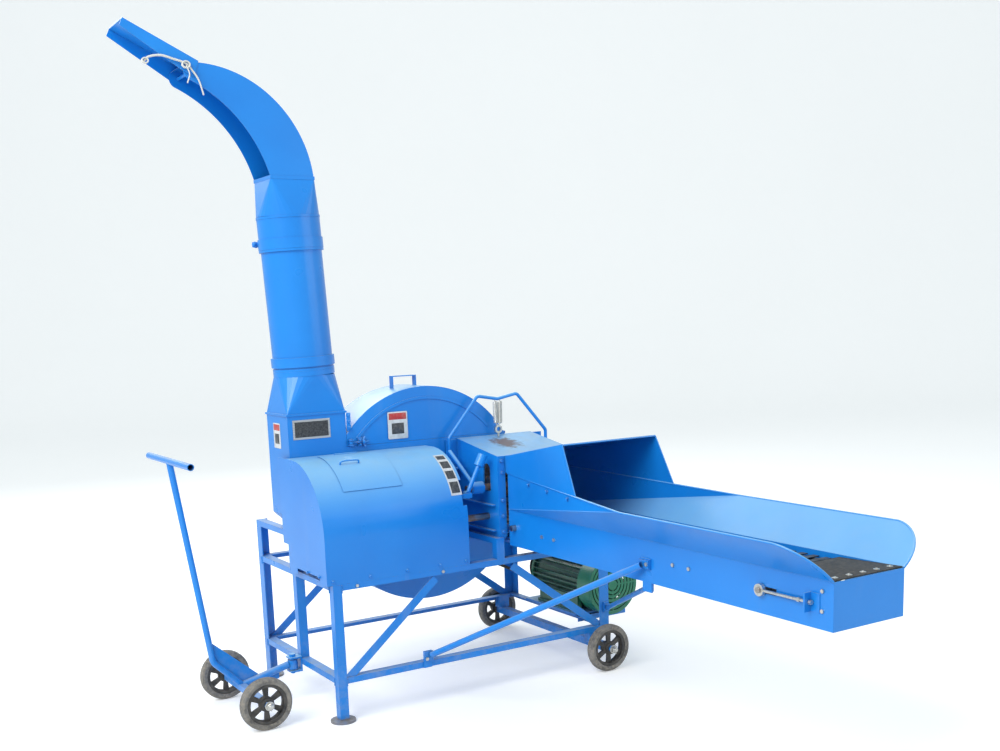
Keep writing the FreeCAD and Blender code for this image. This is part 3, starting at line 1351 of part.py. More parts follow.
def spout_profile(inset):
    """The spout's side outline in the XZ plane: an outer curve, an inner curve and a round nose at the hinge."""
    centre = point_on_tube(size("spout_foot"))
    half = size("spout_half") - inset
    nose = 41 - inset
    hinge = V(size("flap_x"), 0, size("flap_z"))
    foot_out = V(centre.x + half, 0, size("spout_foot"))
    foot_in = V(centre.x - half, 0, size("spout_foot"))
    above = hinge + V(nose * 0.428, 0, nose * 0.904)
    below = hinge - V(nose * 0.51, 0, nose * 0.86)
    outer = Part.Arc(foot_out, V(73 - inset * 0.7, 0, 2845 - inset * 0.7), above).toShape()
    tip = Part.Arc(above, hinge - V(nose * 0.95, 0, nose * -0.31), below).toShape()
    inner = Part.Arc(below, V(-135 + inset * 0.7, 0, 2775 + inset * 0.7), foot_in).toShape()
    edges = [Part.LineSegment(foot_in, foot_out).toShape(), outer, tip, inner]
    return Part.Face(Part.Wire(edges))


def spout_elbow():
    """Rotating sleeve, round-to-square neck and the open-bottomed curved spout."""
    radius, wall, half = size("tube_radius"), size("tube_wall"), size("spout_half")
    top, foot = size("sleeve_top"), size("spout_foot")
    y_mid = size("tube_y")
    turn_z = size("tube_top") + 30
    sleeve = tube_between(point_on_tube(turn_z - 29.8), point_on_tube(top), radius + 1, radius - 3)
    hem = tube_between(point_on_tube(turn_z - 29.8), point_on_tube(turn_z + 20), radius + 6, radius - 3)
    axis = point_on_tube(foot)

    def neck(inset, lift):
        base = rectangle(axis.x - half + inset, axis.x + half - inset, y_mid - half + inset,
                         y_mid + half - inset, foot + lift)
        return square_to_round(base, point_on_tube(top) - V(0, 0, lift), radius + 1 - inset)

    collar = Part.makeBox(2 * half + 6, 2 * half + 6, 16, V(axis.x - half - 3, y_mid - half - 3, foot - 8))
    collar = collar.cut(Part.makeBox(2 * half - 8, 2 * half - 8, 40,
                                     V(axis.x - half + 4, y_mid - half + 4, foot - 20)))
    seat = tube_between(point_on_tube(top - 6), point_on_tube(top + 5), radius + 3, radius - 5)
    body = spout_profile(0).extrude(V(0, 2 * half, 0))
    body.translate(V(0, y_mid - half, 0))
    hollow = spout_profile(-0.01).extrude(V(0, 2 * (half - wall), 0))
    hollow.translate(V(-wall * 0.8, y_mid - half + wall, -wall))
    shell = body.cut(hollow)
    neck_shell = neck(0, 0).cut(neck(wall, 0.01))
    middle = point_on_tube(turn_z)
    lug = Part.makeBox(62, 22, 24, V(middle.x - radius - 34, y_mid - 11, turn_z - 16))
    lug.rotate(middle, V(0, 0, 1), -32)
    lug = lug.cut(bar_between(point_on_tube(turn_z - 70), point_on_tube(top), radius))
    pivot = flap_pivot()
    bolt_hole = bar_between(pivot - V(0, 200, 0), pivot + V(0, 200, 0), 6.95)
    return shaped(sleeve.fuse([hem, seat, neck_shell, collar, shell, lug]).cut(bolt_hole))


def deflector_flap():
    """The hinged channel at the spout's mouth."""
    wall, half = size("tube_wall"), size("spout_half")
    pivot = flap_pivot()
    reach = half + wall + 1
    near = pivot - V(0, reach, 0)
    along = V(-0.904, 0, 0.428)
    across = V(along.z, 0, -along.x)

    def slab(corners, inset):
        start = [near + V(0, inset, 0) + along * a + across * b for a, b in corners]
        return Part.Face(Part.makePolygon(start + [start[0]])).extrude(V(0, 2 * (reach - inset), 0))

    channel = slab([(-10, 52), (345, 52), (345, 16), (30, -22), (-16, -24)], 0)
    hollow = slab([(-100, 52 - wall), (400, 52 - wall), (400, -200), (-100, -200)], wall)
    bolt = bar_between(pivot - V(0, reach + 8, 0), pivot + V(0, reach + 8, 0), 6.9)
    ends = [bar_between(pivot + V(0, s * reach, 0), pivot + V(0, s * (reach + 10), 0), 14) for s in (-1, 1)]
    return shaped(channel.cut(hollow).fuse([bolt] + ends))


def flap_pivot():
    return V(size("flap_x"), size("tube_y"), size("flap_z"))


node("guard_cover", guard_cover())
node("guard_hatch", guard_hatch())
node("chute_transition", chute_transition())
node("chute_tube", chute_tube())
node("spout_elbow", spout_elbow())
node("deflector_flap", deflector_flap())
node("name_plate", span(["0", "drum_front - 1.5", "1310"], ["195", "drum_front", "1405"]))


def fasteners():
    """Bolt heads on the trough, the hood, the guard and the throat."""
    heads = []
    left = "trough_left"
    for y in ("-320", "-422"):
        heads.append(hexagon([f"{left} - 6", y, "813"], "x", "9", "6"))
    for y in ("-1292", "-1392"):
        heads.append(hexagon([f"{left} - 6", y, "834"], "x", "9", "6"))
    for z in ("873", "799"):
        heads.append(hexagon([f"{left} - 6", "-2110", z], "x", "8", "6"))
    for x in ("100", "560"):
        heads.append(hexagon([x, "frame_front - 6", "top_rail - 16"], "y", "8", "6"))
    heads.append(hexagon(["442", "frame_front - 22", "232"], "y", "9", "6"))
    heads.append(hexagon(["trough_left - 22", "-1137", "814"], "x", "9", "6"))
    return group(*heads)


node("fasteners", fasteners())


def check_and_export():
    doc.recompute()
    failed = [thing.Label for thing in doc.Objects if "Invalid" in thing.State or "Error" in thing.State]
    if failed:
        raise RuntimeError(f"failed objects: {failed}")
    for thing in NODES:
        if thing.Shape.isNull() or not thing.Shape.isValid():
            raise RuntimeError(f"bad shape: {thing.Label}")
    os.makedirs("parts", exist_ok=True)
    for thing in NODES:
        thing.Shape.exportStep(f"parts/{thing.Label}.step")
    print(len(NODES), "parts")


check_and_export()
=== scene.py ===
"""Looks, fittings, light and camera for the chaff cutter. Lengths are metres in the row frame."""

import json
import math
import random

import bmesh
import bpy
from mathutils import Matrix, Vector


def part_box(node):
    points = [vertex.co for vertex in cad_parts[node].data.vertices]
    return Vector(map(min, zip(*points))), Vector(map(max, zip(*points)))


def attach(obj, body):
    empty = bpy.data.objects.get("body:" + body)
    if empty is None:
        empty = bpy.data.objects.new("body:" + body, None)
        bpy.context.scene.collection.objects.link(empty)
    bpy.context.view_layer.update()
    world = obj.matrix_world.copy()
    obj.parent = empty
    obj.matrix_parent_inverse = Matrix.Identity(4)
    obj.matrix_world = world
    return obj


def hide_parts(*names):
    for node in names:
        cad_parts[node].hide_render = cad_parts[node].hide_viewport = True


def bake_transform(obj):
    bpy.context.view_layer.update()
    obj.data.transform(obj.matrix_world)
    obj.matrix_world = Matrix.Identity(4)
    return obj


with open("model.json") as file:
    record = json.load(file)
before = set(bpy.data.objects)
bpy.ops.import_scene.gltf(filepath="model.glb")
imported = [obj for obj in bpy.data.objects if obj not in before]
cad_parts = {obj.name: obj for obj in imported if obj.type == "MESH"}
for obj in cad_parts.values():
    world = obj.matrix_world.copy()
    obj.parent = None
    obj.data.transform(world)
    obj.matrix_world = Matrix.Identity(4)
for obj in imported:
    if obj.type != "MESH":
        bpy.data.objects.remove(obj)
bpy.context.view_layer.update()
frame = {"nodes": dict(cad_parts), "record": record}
rng = random.Random(11)
X, Y, Z = Vector((1, 0, 0)), Vector((0, 1, 0)), Vector((0, 0, 1))


# ------------------------------------------------------------------------------ node helpers

class Look:
    """A material under construction: short calls that add and join shader nodes."""

    def __init__(self, name):
        self.material = bpy.data.materials.new(name)
        self.material.use_nodes = True
        self.tree = self.material.node_tree
        self.shader = self.tree.nodes["Principled BSDF"]
        self.place = self.add("ShaderNodeTexCoord").outputs["Object"]

    def add(self, kind, **settings):
        """A new shader node with its settings."""
        made = self.tree.nodes.new(kind)
        for key, value in settings.items():
            setattr(made, key, value)
        return made

    def feed(self, socket, value):
        """Links a node's output, a colour or a number into a socket."""
        if isinstance(value, bpy.types.NodeSocket):
            self.tree.links.new(value, socket)
        elif isinstance(value, tuple):
            socket.default_value = (*value, 1.0)[:len(socket.default_value)]
        else:
            socket.default_value = value

    def noise(self, scale, detail=3.0, stretch=(1, 1, 1), rough=0.55):
        """Fractal noise from 0 to 1, with `scale` lumps per metre, stretched along an axis."""
        mapping = self.add("ShaderNodeMapping")
        mapping.inputs["Scale"].default_value = stretch
        self.feed(mapping.inputs["Vector"], self.place)
        made = self.add("ShaderNodeTexNoise")
        self.feed(made.inputs["Vector"], mapping.outputs["Vector"])
        made.inputs["Scale"].default_value = scale
        made.inputs["Detail"].default_value = detail
        made.inputs["Roughness"].default_value = rough
        return made.outputs["Fac"]

    def cells(self, scale):
        """Distance to the nearest cell centre of a Voronoi pattern."""
        made = self.add("ShaderNodeTexVoronoi")
        self.feed(made.inputs["Vector"], self.place)
        made.inputs["Scale"].default_value = scale
        return made.outputs["Distance"]

    def ramp(self, value, low, high, start=0.0, end=1.0):
        """Maps low..high to start..end and clamps."""
        made = self.add("ShaderNodeMapRange")
        self.feed(made.inputs["Value"], value)
        for name, number in (("From Min", low), ("From Max", high), ("To Min", start), ("To Max", end)):
            made.inputs[name].default_value = number
        return made.outputs["Result"]

    def math(self, operation, first, second=0.0):
        """One arithmetic node on two outputs or numbers."""
        made = self.add("ShaderNodeMath", operation=operation)
        self.feed(made.inputs[0], first)
        self.feed(made.inputs[1], second)
        return made.outputs[0]

    def mix(self, share, first, second):
        """The first colour at share 0, the second at share 1."""
        made = self.add("ShaderNodeMix", data_type="RGBA")
        self.feed(made.inputs["Factor"], share)
        self.feed(made.inputs["A"], first)
        self.feed(made.inputs["B"], second)
        return made.outputs["Result"]

    def facing_up(self, low=0.55, high=0.95):
        """1 where the surface looks up."""
        parts = self.add("ShaderNodeSeparateXYZ")
        self.feed(parts.inputs[0], self.add("ShaderNodeNewGeometry").outputs["Normal"])
        return self.ramp(parts.outputs["Z"], low, high)

    def spot(self, centre, spans, share):
        """A ragged oval on a top surface: `share` in the middle, 0 outside the half lengths in x and y."""
        shifted = self.add("ShaderNodeVectorMath", operation="SUBTRACT")
        self.feed(shifted.inputs[0], self.place)
        shifted.inputs[1].default_value = centre
        scaled = self.add("ShaderNodeVectorMath", operation="DIVIDE")
        self.feed(scaled.inputs[0], shifted.outputs["Vector"])
        scaled.inputs[1].default_value = (*spans, 0.05)
        far = self.add("ShaderNodeVectorMath", operation="LENGTH")
        self.feed(far.inputs[0], scaled.outputs["Vector"])
        ragged = self.math("ADD", far.outputs["Value"], self.ramp(self.noise(30, 5), 0.2, 0.8, -0.45, 0.45))
        return self.ramp(ragged, 0.55, 0.95, share, 0.0)

    def height(self, low, high):
        """1 at z = low, falling to 0 at z = high."""
        parts = self.add("ShaderNodeSeparateXYZ")
        self.feed(parts.inputs[0], self.place)
        return self.ramp(parts.outputs["Z"], low, high, 1.0, 0.0)

    def edges(self, radius=0.004):
        """1 on sharp edges, where paint rubs through; radius stays under the metal's thickness."""
        soft = self.add("ShaderNodeBevel", samples=2)
        soft.inputs["Radius"].default_value = radius
        hard = self.add("ShaderNodeNewGeometry").outputs["Normal"]
        dot = self.add("ShaderNodeVectorMath", operation="DOT_PRODUCT")
        self.feed(dot.inputs[0], soft.outputs["Normal"])
        self.feed(dot.inputs[1], hard)
        return self.ramp(dot.outputs["Value"], 0.985, 0.90)

    def crevices(self, distance=0.05):
        """1 deep in corners and recesses, from ambient occlusion: where shade falls, used for painted
        shade.
        """
        made = self.add("ShaderNodeAmbientOcclusion", samples=3)
        made.inputs["Distance"].default_value = distance
        return self.ramp(made.outputs["AO"], 0.75, 0.25)

    def relief(self, *layers, bevel=0.0012):
        """Bump from (height, strength, distance) layers over softly rounded edges."""
        normal = None
        if bevel:
            soft = self.add("ShaderNodeBevel", samples=3)
            soft.inputs["Radius"].default_value = bevel
            normal = soft.outputs["Normal"]
        for value, strength, distance in layers:
            made = self.add("ShaderNodeBump")
            made.inputs["Strength"].default_value = strength
            made.inputs["Distance"].default_value = distance
            self.feed(made.inputs["Height"], value)
            if normal is not None:
                self.feed(made.inputs["Normal"], normal)
            normal = made.outputs["Normal"]
        self.feed(self.shader.inputs["Normal"], normal)

    def set(self, **inputs):
        """Feeds the Principled shader's inputs, named with underscores for spaces."""
        for key, value in inputs.items():
            self.feed(self.shader.inputs[key.replace("_", " ")], value)
        return self


# ------------------------------------------------------------------------------ materials

DUST = (0.42, 0.40, 0.36)
# Pale cyan for a painted highlight: up-facing paint is blended toward it to stand in for the sky's
# reflection.
TOP_SHEEN_TINT = (0.30, 0.62, 0.82)
# Dark blue for painted shade in corners and recesses.
CREVICE_SHADE = (0.035, 0.05, 0.075)
EARTH = (0.20, 0.175, 0.15)
PRIMER = (0.10, 0.085, 0.075)
RUST = (0.19, 0.065, 0.022)
WORN_SPANS = (0.10, 0.16)


def enamel(name, colour, deep, chips=0.5, grime_and_shade=1.0, top_sheen=0.0, worn_patch=None, wear=0.0014):
    """Sprayed gloss enamel on sheet steel: uneven coat, a painted sky reflection on the tops, dust, chipped
    edges, painted shade in the corners.

    worn_patch is the centre of a spot rubbed down to the metal by a hand or a boot.
    """
    look = Look(name)
    coat = look.mix(look.ramp(look.noise(2.2, 2), 0.3, 0.7), deep, colour)
    coat = look.mix(look.ramp(look.noise(38, 4), 0.35, 0.75, 0.0, 0.18), coat, deep)
    streak = look.ramp(look.noise(9, 4, (1, 1, 0.12)), 0.60, 0.80, 0.0, 0.13 * grime_and_shade)
    coat = look.mix(streak, coat, DUST)
    splashes = look.ramp(look.noise(26, 5), 0.42, 0.72, 0, 0.26 * grime_and_shade)
    low_dirt = look.math("MULTIPLY", look.height(0.0, 0.42), splashes)
    coat = look.mix(low_dirt, coat, DUST)
    # Painted highlight: up-facing paint is blended toward pale cyan as a painted sky reflection, stronger
    # on some materials than others.
    sheen_strength = look.ramp(look.noise(3, 3), 0.2, 0.8, 0.75 * top_sheen, top_sheen)
    painted_top_sheen = look.math("MULTIPLY", look.facing_up(0.25, 1.0), sheen_strength)
    coat = look.mix(painted_top_sheen, coat, TOP_SHEEN_TINT)
    dusting = look.ramp(look.noise(14, 5), 0.30, 0.68, 0.03, 0.42 * grime_and_shade)
    settled = look.math("MULTIPLY", look.facing_up(), dusting)
    coat = look.mix(settled, coat, DUST)
    # Painted shade: corners found by ambient occlusion are darkened toward dark blue in noisy patches. The
    # grime setting scales both this painted shade and the real dust above.
    patchy = look.ramp(look.noise(60, 3), 0.3, 0.7, 0.15, 0.55 * grime_and_shade)
    corner = look.math("MULTIPLY", look.crevices(), patchy)
    coat = look.mix(corner, coat, CREVICE_SHADE)
    flaked = look.ramp(look.noise(75, 4), 0.52, 0.62, 0.0, chips)
    rubbed = look.math("MULTIPLY", look.edges(wear), flaked)
    specks = look.math("MULTIPLY", look.ramp(look.cells(30), 0.05, 0.03),
                       look.ramp(look.noise(5, 2), 0.62, 0.72, 0.0, 0.6 * max(0.0, chips - 0.4)))
    bare = look.math("MAXIMUM", rubbed, specks)
    if worn_patch:
        bare = look.math("MAXIMUM", bare, look.spot(worn_patch, WORN_SPANS, 0.85))
    metal = look.mix(look.ramp(look.noise(120, 3), 0.4, 0.6), PRIMER, RUST)
    coat = look.mix(bare, coat, metal)
    ground = look.ramp(look.noise(40, 4), 0.25, 0.7, 0.65, 1.0)
    grounded = look.math("MULTIPLY", look.height(0.0125, 0.020), ground)
    coat = look.mix(grounded, coat, EARTH)
    rough = look.ramp(look.noise(5, 2), 0.3, 0.7, 0.27, 0.34)
    for layer, duller in ((settled, 0.8), (bare, 0.4)):
        rough = look.math("ADD", rough, look.math("MULTIPLY", layer, duller))
    look.relief((look.noise(2.6, 2), 0.22, 0.012), (look.noise(420, 2), 0.10, 0.0006),
                (look.math("MULTIPLY", bare, -1.0), 0.5, 0.0005))
    look.set(Base_Color=coat, Roughness=rough, Coat_Weight=0.22, Coat_Roughness=0.18,
             Specular_IOR_Level=0.4)
    return look.material


def zinc(name, freckles, metallic):
    """Zinc-plated steel: faint spangle, brushed, with white bloom and a few rust freckles."""
    look = Look(name)
    base = look.mix(look.ramp(look.noise(90, 3), 0.3, 0.7), (0.52, 0.52, 0.50), (0.68, 0.67, 0.63))
    freckle = look.ramp(look.noise(190, 4), 0.60, 0.68, 0.0, freckles)
    base = look.mix(freckle, base, RUST)
    look.relief((look.noise(600, 2), 0.15, 0.0003), bevel=0.0006)
    look.set(Base_Color=base, Metallic=look.ramp(freckle, 0, 1, metallic, 0.3),
             Roughness=look.ramp(look.noise(60, 3), 0.3, 0.7, 0.28, 0.5))
    return look.material


def worked_steel(name, bright, rust=0.4, scratch=(1, 1, 14)):
    """Bare working steel: directional scratches, brown bloom and polished wear."""
    look = Look(name)
    scratches = look.noise(55, 5, scratch, 0.7)
    base = look.mix(look.ramp(scratches, 0.35, 0.65), tuple(0.6 * c for c in bright), bright)
    bloom = look.ramp(look.noise(22, 6), 0.46, 0.66, 0.0, rust)
    base = look.mix(bloom, base, RUST)
    look.relief((scratches, 0.18, 0.0005), (look.noise(160, 4), 0.12 + 0.4 * rust, 0.0008), bevel=0.0008)
    look.set(Base_Color=base, Metallic=look.ramp(bloom, 0, 1, 1.0, 0.1),
             Roughness=look.ramp(bloom, 0, 1, 0.33, 0.8))
    return look.material


def cast_iron_paint():
    """Thin black paint on sand-cast iron, dusty in patches."""
    look = Look("black_casting")
    base = look.mix(look.ramp(look.noise(45, 4), 0.35, 0.65), (0.012, 0.012, 0.013), (0.035, 0.035, 0.036))
    dusty = look.ramp(look.noise(30, 5), 0.36, 0.70, 0.05, 0.42)
    base = look.mix(dusty, base, (0.21, 0.19, 0.165))
    worn = look.math("MULTIPLY", look.edges(0.003), look.ramp(look.noise(110, 3), 0.45, 0.6, 0.0, 0.7))
    base = look.mix(worn, base, (0.22, 0.15, 0.11))
    look.relief((look.noise(260, 4), 0.5, 0.0012), bevel=0.0018)
    look.set(Base_Color=base, Roughness=look.ramp(dusty, 0, 0.4, 0.42, 0.8), Specular_IOR_Level=0.45)
    return look.material


def rubber(name, dark, pale, dust):
    """Rubber with dust worked into it."""
    look = Look(name)
    base = look.mix(look.ramp(look.noise(18, 5), 0.3, 0.7), dark, pale)
    caked = look.ramp(look.noise(70, 5), 0.40, 0.66, 0.0, dust)
    base = look.mix(caked, base, (0.30, 0.27, 0.23))
    look.relief((look.noise(300, 3), 0.35, 0.0009), (look.noise(40, 3), 0.2, 0.002), bevel=0.0015)
    look.set(Base_Color=base, Roughness=look.ramp(caked, 0, 0.5, 0.62, 0.9), Specular_IOR_Level=0.3)
    return look.material


def oiled_steel():
    """Conveyor slats and chain: dark oiled steel, polished on top by the stalks, with chaff stuck on."""
    look = Look("oiled_steel")
    mottle = look.ramp(look.noise(50, 4, (0.2, 1, 1)), 0.35, 0.65)
    base = look.mix(mottle, (0.020, 0.022, 0.026), (0.07, 0.075, 0.085))
    shining = look.ramp(look.noise(16, 4), 0.40, 0.62, 0.0, 0.6)
    polish = look.math("MULTIPLY", look.facing_up(0.8, 0.98), shining)
    base = look.mix(polish, base, (0.22, 0.22, 0.22))
    chaff = look.ramp(look.noise(150, 3, (1, 0.25, 1)), 0.62, 0.70, 0.0, 0.45)
    base = look.mix(chaff, base, (0.34, 0.27, 0.13))
    look.relief((look.noise(180, 4), 0.3, 0.0008), bevel=0.0008)
    look.set(Base_Color=base, Metallic=look.ramp(chaff, 0, 0.4, 0.85, 0.0),
             Roughness=look.ramp(look.noise(35, 3), 0.3, 0.7, 0.3, 0.55))
    return look.material


def plastic(name, colour):
    """Moulded plastic with a fine grain, a little paler in patches."""
    look = Look(name)
    base = look.mix(look.ramp(look.noise(30, 4), 0.35, 0.7), colour, tuple(c * 1.6 + 0.01 for c in colour))
    look.relief((look.noise(500, 2), 0.2, 0.0004))
    look.set(Base_Color=base, Roughness=look.ramp(look.noise(40, 3), 0.3, 0.7, 0.4, 0.6))
    return look.material


def stamped_plate():
    """A blank rating plate: brushed aluminium with a dark printed field and a bare rim."""
    look = Look("stamped_plate")
    brushed = look.noise(120, 4, (0.08, 1, 1.6))
    bare = look.mix(look.ramp(brushed, 0.3, 0.7), (0.42, 0.42, 0.42), (0.66, 0.66, 0.65))
    parts = look.add("ShaderNodeSeparateXYZ")
    look.feed(parts.inputs[0], look.place)
    low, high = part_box("name_plate")
    middle = (low + high) / 2
    along = look.math("ABSOLUTE", look.math("SUBTRACT", parts.outputs["X"], middle.x))
    upright = look.math("ABSOLUTE", look.math("SUBTRACT", parts.outputs["Z"], middle.z))
    margin = 0.010
    inside = look.math("MULTIPLY", look.math("LESS_THAN", along, (high.x - low.x) / 2 - margin),
                       look.math("LESS_THAN", upright, (high.z - low.z) / 2 - margin))
    faded = look.ramp(look.noise(160, 3), 0.40, 0.60, 0.0, 0.10)
    printed = look.mix(faded, (0.02, 0.022, 0.025), (0.5, 0.5, 0.5))
    look.relief((brushed, 0.2, 0.0003))
    look.set(Base_Color=look.mix(inside, bare, printed), Metallic=look.math("SUBTRACT", 0.9, inside),
             Roughness=0.34)
    return look.material


BLUE = (0.0075, 0.238, 0.735)
BLUE_DEEP = (0.0055, 0.196, 0.650)
throat_low, throat_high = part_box("throat_housing")
throat_patch = (0.55 * throat_low.x + 0.45 * throat_high.x, 0.20, throat_high.z - 0.01)
blue_enamel = enamel("blue_enamel", BLUE, BLUE_DEEP, chips=0.35, grime_and_shade=0.30, top_sheen=0.80)
throat_enamel = enamel("throat_enamel", BLUE, BLUE_DEEP, chips=0.6, grime_and_shade=0.8, top_sheen=0.65,
                       worn_patch=throat_patch)
blue_worn = enamel("blue_enamel_worn", BLUE, BLUE_DEEP, chips=0.9, grime_and_shade=1.3, top_sheen=0.25, wear=0.0028)
green_enamel = enamel("green_enamel", (0.012, 0.155, 0.085), (0.008, 0.10, 0.058), grime_and_shade=1.3)
green_cowl = enamel("green_cowl", (0.015, 0.24, 0.12), (0.010, 0.17, 0.09), chips=0.2)
zinc_plate = zinc("zinc_plate", 0.55, 0.95)
bright_zinc = zinc("bright_zinc", 0.15, 0.45)
turned_steel = worked_steel("turned_steel", (0.50, 0.49, 0.47), 0.35)
roller_steel = worked_steel("roller_steel", (0.36, 0.34, 0.31), 0.85, (1, 14, 14))
ground_steel = worked_steel("ground_steel", (0.62, 0.62, 0.61), 0.15, (12, 1, 1))
black_casting = cast_iron_paint()
tyre_rubber = rubber("tyre_rubber", (0.085, 0.082, 0.078), (0.23, 0.22, 0.205), 0.8)
black_rubber = rubber("black_rubber", (0.016, 0.016, 0.017), (0.035, 0.035, 0.035), 0.22)
slat_steel = oiled_steel()
black_plastic = plastic("black_plastic", (0.02, 0.02, 0.021))
plate_metal = stamped_plate()

BY_SLOT = {
    "blue_paint": blue_enamel,
    "green_paint": green_enamel,
    "plain_steel": turned_steel,
    "blade_steel": ground_steel,
    "black_iron": black_casting,
    "tyre_rubber": tyre_rubber,
    "dark_steel": slat_steel,
    "black_rubber": black_rubber,
    "black_plastic": black_plastic,
    "plate_aluminium": plate_metal,
}
BY_NODE = {
    "throat_housing": throat_enamel,
    "main_frame": blue_worn,
    "dolly_frame": blue_worn,
    "axle_beam": blue_worn,
    "brace_tubes": blue_worn,
    "gearbox_casing": blue_worn,
    "fan_cowl": green_cowl,
    "press_springs": zinc_plate,
    "spring_eye_bolt": zinc_plate,
    "take_up_blocks": zinc_plate,
    "fasteners": zinc_plate,
    "lower_roller": roller_steel,
    "upper_roller": roller_steel,
    "throwing_paddles": roller_steel,
}


def dress_cad():
    """Puts each node's finish on its material slots."""
    for part in frame["record"]["subparts"]:
        name = part["node"]
        finish = BY_NODE.get(name, BY_SLOT[part["material_slot"]])
        mesh = frame["nodes"][name].data
        if not mesh.materials:
            mesh.materials.append(finish)
        for k in range(len(mesh.materials)):
            mesh.materials[k] = finish


dress_cad()

# ------------------------------------------------------------------------------ mesh helpers

def mm(x, y, z):
    """A point in metres from millimetres."""
    return Vector((x, y, z)) / 1000


def square_to(axis):
    """The unit axis and two unit vectors square to it."""
    axis = Vector(axis).normalized()
    first = (X if abs(axis.x) < 0.9 else Y).cross(axis).normalized()
    return axis, first, axis.cross(first)


def spoke(first, second, angle):
    """The unit vector at an angle from the first of two square directions."""
    return first * math.cos(angle) + second * math.sin(angle)


def piece(name, body, finish, fill, sharp=35):
    """A named mesh riding on a CAD body, or on none yet; `fill` adds the geometry."""
    bm = bmesh.new()
    fill(bm)
    bmesh.ops.recalc_face_normals(bm, faces=bm.faces)
    mesh = bpy.data.meshes.new(name)
    bm.to_mesh(mesh)
    bm.free()
    mesh.materials.append(finish)
    mesh.shade_smooth()
    mesh.set_sharp_from_angle(angle=math.radians(sharp))
    made = bpy.data.objects.new(name, mesh)
    bpy.context.scene.collection.objects.link(made)
    if body:
        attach(made, body)
    return made


def loft(bm, rings, closed=False):
    """Skins a list of equal vertex rings and caps the ends."""
    count = len(rings[0])
    pairs = list(zip(rings, rings[1:])) + ([(rings[-1], rings[0])] if closed else [])
    for low_ring, high_ring in pairs:
        for k in range(count):
            following = (k + 1) % count
            bm.faces.new((low_ring[k], low_ring[following], high_ring[following], high_ring[k]))
    if not closed:
        bm.faces.new(reversed(rings[0]))
        bm.faces.new(rings[-1])


def turn(bm, at, axis, profile, sides=24):
    """A solid of revolution from (height, radius) steps along the axis."""
    axis, first, second = square_to(axis)
    rings = []
    for rise, radius in profile:
        ring = []
        for k in range(sides):
            angle = 2 * math.pi * k / sides
            ring.append(bm.verts.new(at + axis * rise + spoke(first, second, angle) * radius))
        rings.append(ring)
    loft(bm, rings)


def sweep(bm, points, radii, sides=10, closed=False):
    """A round bar through the points; radii is one number or one per point."""
    count = len(points)
    if not isinstance(radii, (list, tuple)):
        radii = [radii] * count
    ahead = (points[1] - points[0]).normalized()
    _, side, _ = square_to(ahead)
    rings = []
    for k, point in enumerate(points):
        before = points[k - 1] if k or closed else points[0]
        after = points[(k + 1) % count] if k < count - 1 or closed else points[-1]
        ahead = (after - before).normalized()
        side = (side - ahead * side.dot(ahead)).normalized()
        other = ahead.cross(side)
        ring = []
        for n in range(sides):
            angle = 2 * math.pi * n / sides
            ring.append(bm.verts.new(point + spoke(side, other, angle) * radii[k]))
        rings.append(ring)
    loft(bm, rings, closed)


def smooth_path(points, steps=8):
    """A Catmull-Rom curve through the points."""
    padded = [points[0] * 2 - points[1]] + list(points) + [points[-1] * 2 - points[-2]]
    path = []
    for k in range(1, len(padded) - 2):
        a, b, c, d = padded[k - 1:k + 3]
        for n in range(steps):
            t = n / steps
            path.append(0.5 * (2 * b + (c - a) * t + (2 * a - 5 * b + 4 * c - d) * t ** 2
                               + (3 * b - a - 3 * c + d) * t ** 3))
    path.append(points[-1])
    return path


def arc_through(first, middle, last, steps):
    """Points on the circle through three points."""
    a, b = middle - first, last - first
    normal = a.cross(b)
    toward = normal.cross(a) * b.length_squared + b.cross(normal) * a.length_squared
    centre = first + toward / (2 * normal.length_squared)
    start, end = first - centre, last - centre
    across = start.normalized()
    along = normal.normalized().cross(across)
    full = math.atan2(end.dot(along), end.dot(across)) % (2 * math.pi)
    return [centre + spoke(across, along, full * k / steps) * start.length for k in range(steps + 1)]


def rounded_block(bm, low, high, radius=0.0015, steps=2):
    """A box with rounded edges."""
    made = bmesh.ops.create_cube(bm, size=1)["verts"]
    middle, span = (low + high) / 2, high - low
    for vert in made:
        vert.co = middle + Vector(c * s for c, s in zip(vert.co, span))
    edges = list(dict.fromkeys(edge for vert in made for edge in vert.link_edges))
    bmesh.ops.bevel(bm, geom=edges, offset=radius, segments=steps, affect="EDGES", profile=0.5)


def rounded_plate(bm, centre, right, up, width, height, thickness, corner):
    """A thin plate with round corners, standing off along right x up."""
    out = right.cross(up).normalized()
    outline = []
    for quarter, (sx, sy) in enumerate(((1, 1), (-1, 1), (-1, -1), (1, -1))):
        for k in range(5):
            angle = math.pi / 2 * (quarter + k / 4)
            outline.append((sx * (width / 2 - corner) + corner * math.cos(angle),
                            sy * (height / 2 - corner) + corner * math.sin(angle)))
    rings = []
    for rise, inset in ((0, 0), (thickness * 0.7, 0), (thickness, thickness * 0.5)):
        share = 1 - 2 * inset / min(width, height)
        rings.append([bm.verts.new(centre + (right * a + up * b) * share + out * rise) for a, b in outline])
    loft(bm, rings)


def hexagon(bm, at, axis, profile, spin=0.0):
    """A six-sided solid from (height, corner radius) steps along the axis."""
    axis, first, second = square_to(axis)
    rings = []
    for rise, radius in profile:
        rings.append([bm.verts.new(at + axis * rise + spoke(first, second, spin + k * math.pi / 3) * radius)
                      for k in range(6)])
    loft(bm, rings)


